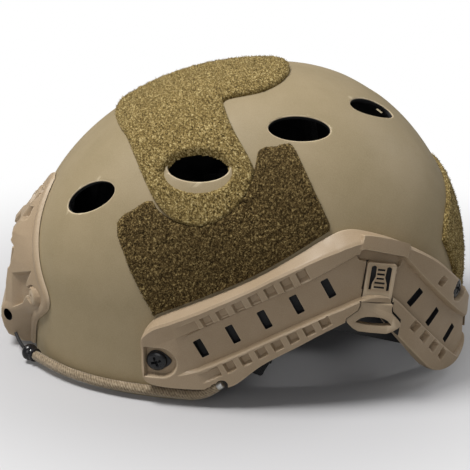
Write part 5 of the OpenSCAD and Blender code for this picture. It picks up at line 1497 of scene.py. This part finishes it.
build_pad("crown_cushion", "crown_pad", crown_spot, (72, 96))
build_pad("front_cushion", "front_pad", wall_spot(-26, 26, 56, 82), (26, 105))
build_pad("rear_cushion", "rear_pad", wall_spot(154, 206, 70, 112), (44, 92))
for m in (False, True):
    s = side_name(m)
    build_pad(s + "_temple_cushion", s + "_temple_pad", wall_spot(36, 58, 46, 92), (46, 52), m)
    build_pad(s + "_side_cushion", s + "_side_pad", wall_spot(76, 112, 86, 122), (40, 60), m)

DIAL_Y, DIAL_Z = REAR - 25, 22.0


def nape_cushion():
    """Pad of a long rounded outline on the fit band's hanger."""
    rows, cols, half, r, thick = 18, 120, 20, 13, 8.0
    a = circle(cols)
    outline = np.stack([r * np.cos(a) + half * np.sign(np.cos(a)) * np.minimum(
        1, np.abs(np.cos(a)) * 6), r * np.sin(a)], -1)
    y0 = DIAL_Y - 2.1 - 2.2 - SEAT
    rings = []
    for i in range(rows):
        t = i / (rows - 1)
        inset, deep = 1 - 0.97 * t ** 1.6, thick * (1 - (1 - min(1, t * 2.6)) ** 2.2) ** 0.5
        deep -= 0.5 * math.exp(-((t - 0.3) / 0.05) ** 2)
        rings.append(np.stack([outline[:, 0] * (1 - t ** 1.6), y0 - deep + 0 * a,
                               DIAL_Z + outline[:, 1] * inset], -1))
    rings.insert(0, np.stack([outline[:, 0], y0 + 0 * a, DIAL_Z + outline[:, 1]], -1))
    obj = mesh_piece("nape_cushion", np.vstack(rings), closed_faces(len(rings), cols), FOAM,
                     smooth=70)
    clean(obj, 0.002, 70)
    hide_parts("nape_pad")


nape_cushion()


# Chin webbing: the band itself, the slider's bars, its place and frame, and the folded end
WEB_WIDTH, WEB_THICK, WEB_BOW = 19.0, 1.6, 0.6
WEB_OFF = -WALL - SEAT - WEB_BOW - WEB_THICK / 2
BAR_THICK, BAR_WIDTH, WEB_TAIL = 2.2, 3.0, 13.0
WRAP_R = BAR_THICK / 2 + SEAT + WEB_THICK / 2
SLIDER_SPOT, SLIDER_OFF, SLIDER_HALF, SLIDER_SLOT = (-10.0, 64.0), -8.0, 17.0, 3.6
SIDE_BAR = SLIDER_HALF - BAR_WIDTH
FOOT_BAR = WEB_WIDTH / 2 + SLIDER_SLOT + 1.5
SLIDER_O = on_layer(side_pt(*SLIDER_SPOT, RAIL_REF), RAIL_REF, SLIDER_OFF)
SLIDER_N = normal(SLIDER_O, SLIDER_OFF)
SLIDER_X = unit(np.cross([0, 0, 1.0], SLIDER_N))
SLIDER_U = np.cross(SLIDER_N, SLIDER_X)
FOLD_SPOT, FOLD_DIR, FOLD_R, FOLD_LEAN = (-11, -41.5), unit([-9, -22]), 4.7, 0.6
FOLD_D = FOLD_DIR[0] * SLIDER_X + FOLD_DIR[1] * SLIDER_U


def on_slider(x, y, z):
    """Point in the slider's frame: across, up and outward."""
    return SLIDER_O + x * SLIDER_X + y * SLIDER_U + z * SLIDER_N


def laid(route):
    """Stations of a strap laid on the shell's inner face: points and the strap's width axes."""
    p = np.array([on_layer(side_pt(*r, RAIL_REF), RAIL_REF, WEB_OFF) for r in route])
    out = []
    for i in range(len(p)):
        d = p[min(i + 1, len(p) - 1)] - p[max(i - 1, 0)]
        out.append((p[i], unit(np.cross(normal(p[i], WEB_OFF), d))))
    return out


def turned(p, d, n, r, tail):
    """Stations of a strap that turns back round a bar at p and ends in a tail."""
    side = np.cross(n, d)
    out = [(p + r * (math.sin(a) * d + (math.cos(a) - 1) * n), side)
           for a in np.radians(range(0, 181, 15))]
    return out + [(p - tail * d - 2 * r * n, side)]


def build_strap(name, node, stations, mirror, spot=None):
    """Webbing along its stations, with a hole for the rail screw at spot."""
    p, w = (np.array([s[k] for s in stations]) for k in (0, 1))
    both = spline(np.hstack([p, w * 30]), 260)
    p, w = both[:, :3], unit(both[:, 3:])
    flat = unit(np.cross(np.gradient(p, axis=0), w))
    t, h = WEB_THICK / 2, WEB_WIDTH / 2
    section = [(-h, -t * 0.5), (-h + 0.35, -t * 0.92), (-h + 1.2, -t * 0.98)]
    section += [(x, -t * 0.96) for x in np.linspace(-h + 2.2, h - 2.2, 9)]
    section += [(h - 1.2, -t * 0.98), (h - 0.35, -t * 0.92), (h, -t * 0.5)]
    section += [(x, -y) for x, y in section[::-1]]
    sec = np.array(section)
    rings = p[:, None] + sec[None, :, :1] * w[:, None] + sec[None, :, 1:] * flat[:, None]
    n, m = rings.shape[:2]
    obj = mesh_piece(name, rings.reshape(-1, 3), closed_faces(n, m), WEB, mirror=mirror, smooth=50)
    store(obj, "along", np.repeat(path_lengths(p), m))
    store(obj, "across", np.tile(sec[:, 0], n))
    clean(obj, 0.001, 50)
    if spot:
        cut(obj, [drill(rail_axes(spot), 3.7, -30, 0, mirror=mirror)], 50)
    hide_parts(node)


FRONT_ROUTE = [(-82, 23.5), RAIL_SPOTS[0], (-62, 35), (-52, 44), (-46, 51), (-41, 58),
               (-37, SLIDER_SPOT[1] - 1)]
REAR_ROUTE = [(111, 47), (107, 51.5), RAIL_SPOTS[1], (98, 60), (92, 64), (80, 70.5), (66, 74),
              (52, 75), (40, 73.5), (30, 70), (23, 66.5), (17, SLIDER_SPOT[1] + 1)]
for m in (False, True):
    s = side_name(m)
    front = laid(FRONT_ROUTE) + [(on_slider(-SLIDER_HALF - 3, 0, WRAP_R), SLIDER_U)]
    front += turned(on_slider(-SIDE_BAR - 0.4, 0, WRAP_R), SLIDER_X, SLIDER_N, WRAP_R, WEB_TAIL)
    build_strap(s + "_front_web", s + "_front_strap", front, m, RAIL_SPOTS[0])
    rear = laid(REAR_ROUTE) + [(on_slider(SLIDER_HALF + 3, 0, WRAP_R), -SLIDER_U)]
    rear += turned(on_slider(SIDE_BAR + 0.4, 0, WRAP_R), -SLIDER_X, SLIDER_N, WRAP_R, WEB_TAIL)
    build_strap(s + "_rear_web", s + "_rear_strap", rear, m, RAIL_SPOTS[1])
    top_turn = turned(on_slider(0, -FOOT_BAR - 0.4, WRAP_R), SLIDER_U, SLIDER_N, WRAP_R, WEB_TAIL)
    down = [(-1, -22, WRAP_R), (-3.5, -28.5, WRAP_R - FOLD_LEAN / 2), (-7, -35, WRAP_R - FOLD_LEAN)]
    fold = turned(on_slider(*FOLD_SPOT, WRAP_R - FOLD_LEAN), FOLD_D, SLIDER_N, FOLD_R, 11)
    chin = [(q, -w) for q, w in fold[::-1]]
    chin += [(on_slider(*down[i]), unit(np.cross(SLIDER_N, (3 - i) * SLIDER_U - i * FOLD_D)))
             for i in (2, 1, 0)]
    chin += top_turn
    build_strap(s + "_chin_web", s + "_chin_strap", chin, m)


# CAD pieces whose shape is right keep it and get their finish here
FINISHES = {
    "rail_nuts": STEEL, "shroud_nuts": STEEL, "housing_screws": STEEL,
    "dial_housing": BLACK, "dial_cover": BLACK, "dial_knob": RUBBER, "dial_pinion": NYLON,
    "left_band_arm": BLACK, "right_band_arm": BLACK, "nape_hanger": BLACK,
    "left_slider": BLACK, "right_slider": BLACK, "buckle_socket": BLACK, "buckle_plug": BLACK,
}
for node_name, material in FINISHES.items():
    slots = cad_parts[node_name].material_slots
    for item in slots:
        item.material = material
    if not len(slots):
        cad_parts[node_name].data.materials.append(material)


# Camera at the photograph's angle
CAMERA_PLACE, CAMERA_LENS, CAMERA_SENSOR = (0.7741, -0.0759 + SHIFT_Y * MM, 0.3768), 102.85, 36.0
CAMERA_RIGHT, CAMERA_UP = (0.0698, 0.9976, 0.0), (-0.3737, 0.0261, 0.9272)
CAMERA_BACK = (0.9249, -0.0647, 0.3746)


def place_camera():
    data = bpy.data.cameras.new("camera")
    data.sensor_fit, data.sensor_width, data.lens = "HORIZONTAL", CAMERA_SENSOR, CAMERA_LENS
    data.clip_start, data.clip_end = 0.05, 20
    cam = add_object("camera", data)
    m = Matrix((CAMERA_RIGHT, CAMERA_UP, CAMERA_BACK)).transposed().to_4x4()
    m.translation = Vector(CAMERA_PLACE)
    cam.matrix_world = m
    bpy.context.scene.camera = cam


place_camera()


# Floor, world and lamps
FLOOR_HALF, SHADOW_REACH = 6.0, (0.1, 0.34)
FLOOR_UNSEEN, FLOOR_SEEN, WHITE = (0.4, 0.4, 0.4, 1), (0.5, 0.5, 0.52, 1), (1, 1, 1, 1)
WORLD_LIGHT = 0.2
# Name, place, width, watts and colour
LAMPS = [("key", (0.12, -0.6, 1.5), 0.6, 26, (1, 0.985, 0.95)),
         ("side", (1.4, -0.5, 0.6), 0.9, 3.2, (1, 0.99, 0.97)),
         ("rear", (-0.3, 1.2, 1.0), 0.8, 5.5, (1, 1, 1))]


def empty_tree(owner):
    owner.use_nodes = True
    owner.node_tree.nodes.clear()
    return owner.node_tree


def build_stage():
    """White floor that is no part of the object, the world's light and three lamps."""
    mesh = bpy.data.meshes.new("floor")
    corners = [(x * FLOOR_HALF, y * FLOOR_HALF, 0) for x, y in ((-1, -1), (1, -1), (1, 1), (-1, 1))]
    mesh.from_pydata(corners, [], [(0, 1, 2, 3)])
    floor = add_object("floor", mesh)
    material = bpy.data.materials.new("floor")
    mesh.materials.append(material)
    tree = empty_tree(material)
    seen = add_node(tree, "LightPath").outputs["Is Camera Ray"]
    # Near the helmet the floor takes its shadow, and further out it is plain white
    place = add_node(tree, "TexCoord").outputs["Object"]
    distance = add_node(tree, "VectorMath", {0: place}, operation="LENGTH").outputs["Value"]
    away = add_node(tree, "MapRange", {"Value": distance, "From Min": SHADOW_REACH[0],
                                       "From Max": SHADOW_REACH[1]},
                    interpolation_type="SMOOTHSTEP").outputs[0]
    share = add_node(tree, "Math", {0: seen, 1: away}, operation="MULTIPLY").outputs[0]
    # Other rays see a darker floor, so that it throws little light up
    tone = add_node(tree, "Mix", {0: seen, 6: FLOOR_UNSEEN, 7: FLOOR_SEEN},
                    data_type="RGBA").outputs[2]
    diffuse = add_node(tree, "BsdfDiffuse", {"Color": tone}).outputs[0]
    glow = add_node(tree, "Emission", {"Color": WHITE, "Strength": 1.0}).outputs[0]
    add_node(tree, "OutputMaterial",
             {0: add_node(tree, "MixShader", {0: share, 1: diffuse, 2: glow}).outputs[0]})

    world = bpy.data.worlds.new("studio")
    bpy.context.scene.world = world
    tree = empty_tree(world)
    rays = add_node(tree, "LightPath").outputs
    seen = add_node(tree, "Math", {0: rays["Is Camera Ray"], 1: rays["Is Transmission Ray"]},
                    operation="MAXIMUM").outputs[0]
    strength = add_node(tree, "MapRange", {"Value": seen, "To Min": WORLD_LIGHT}).outputs[0]
    back = add_node(tree, "Background", {"Color": WHITE, "Strength": strength}).outputs[0]
    add_node(tree, "OutputWorld", {0: back})

    for name, place, size, watts, color in LAMPS:
        data = bpy.data.lights.new(name, "AREA")
        data.shape, data.size, data.energy, data.color = "DISK", size, watts, color
        obj = add_object(name, data)
        obj.location = place
        way = Vector((0, 0, 0.08)) - Vector(place)
        obj.rotation_euler = way.to_track_quat("-Z", "Y").to_euler()
    bpy.context.scene.view_settings.view_transform = "Standard"


build_stage()
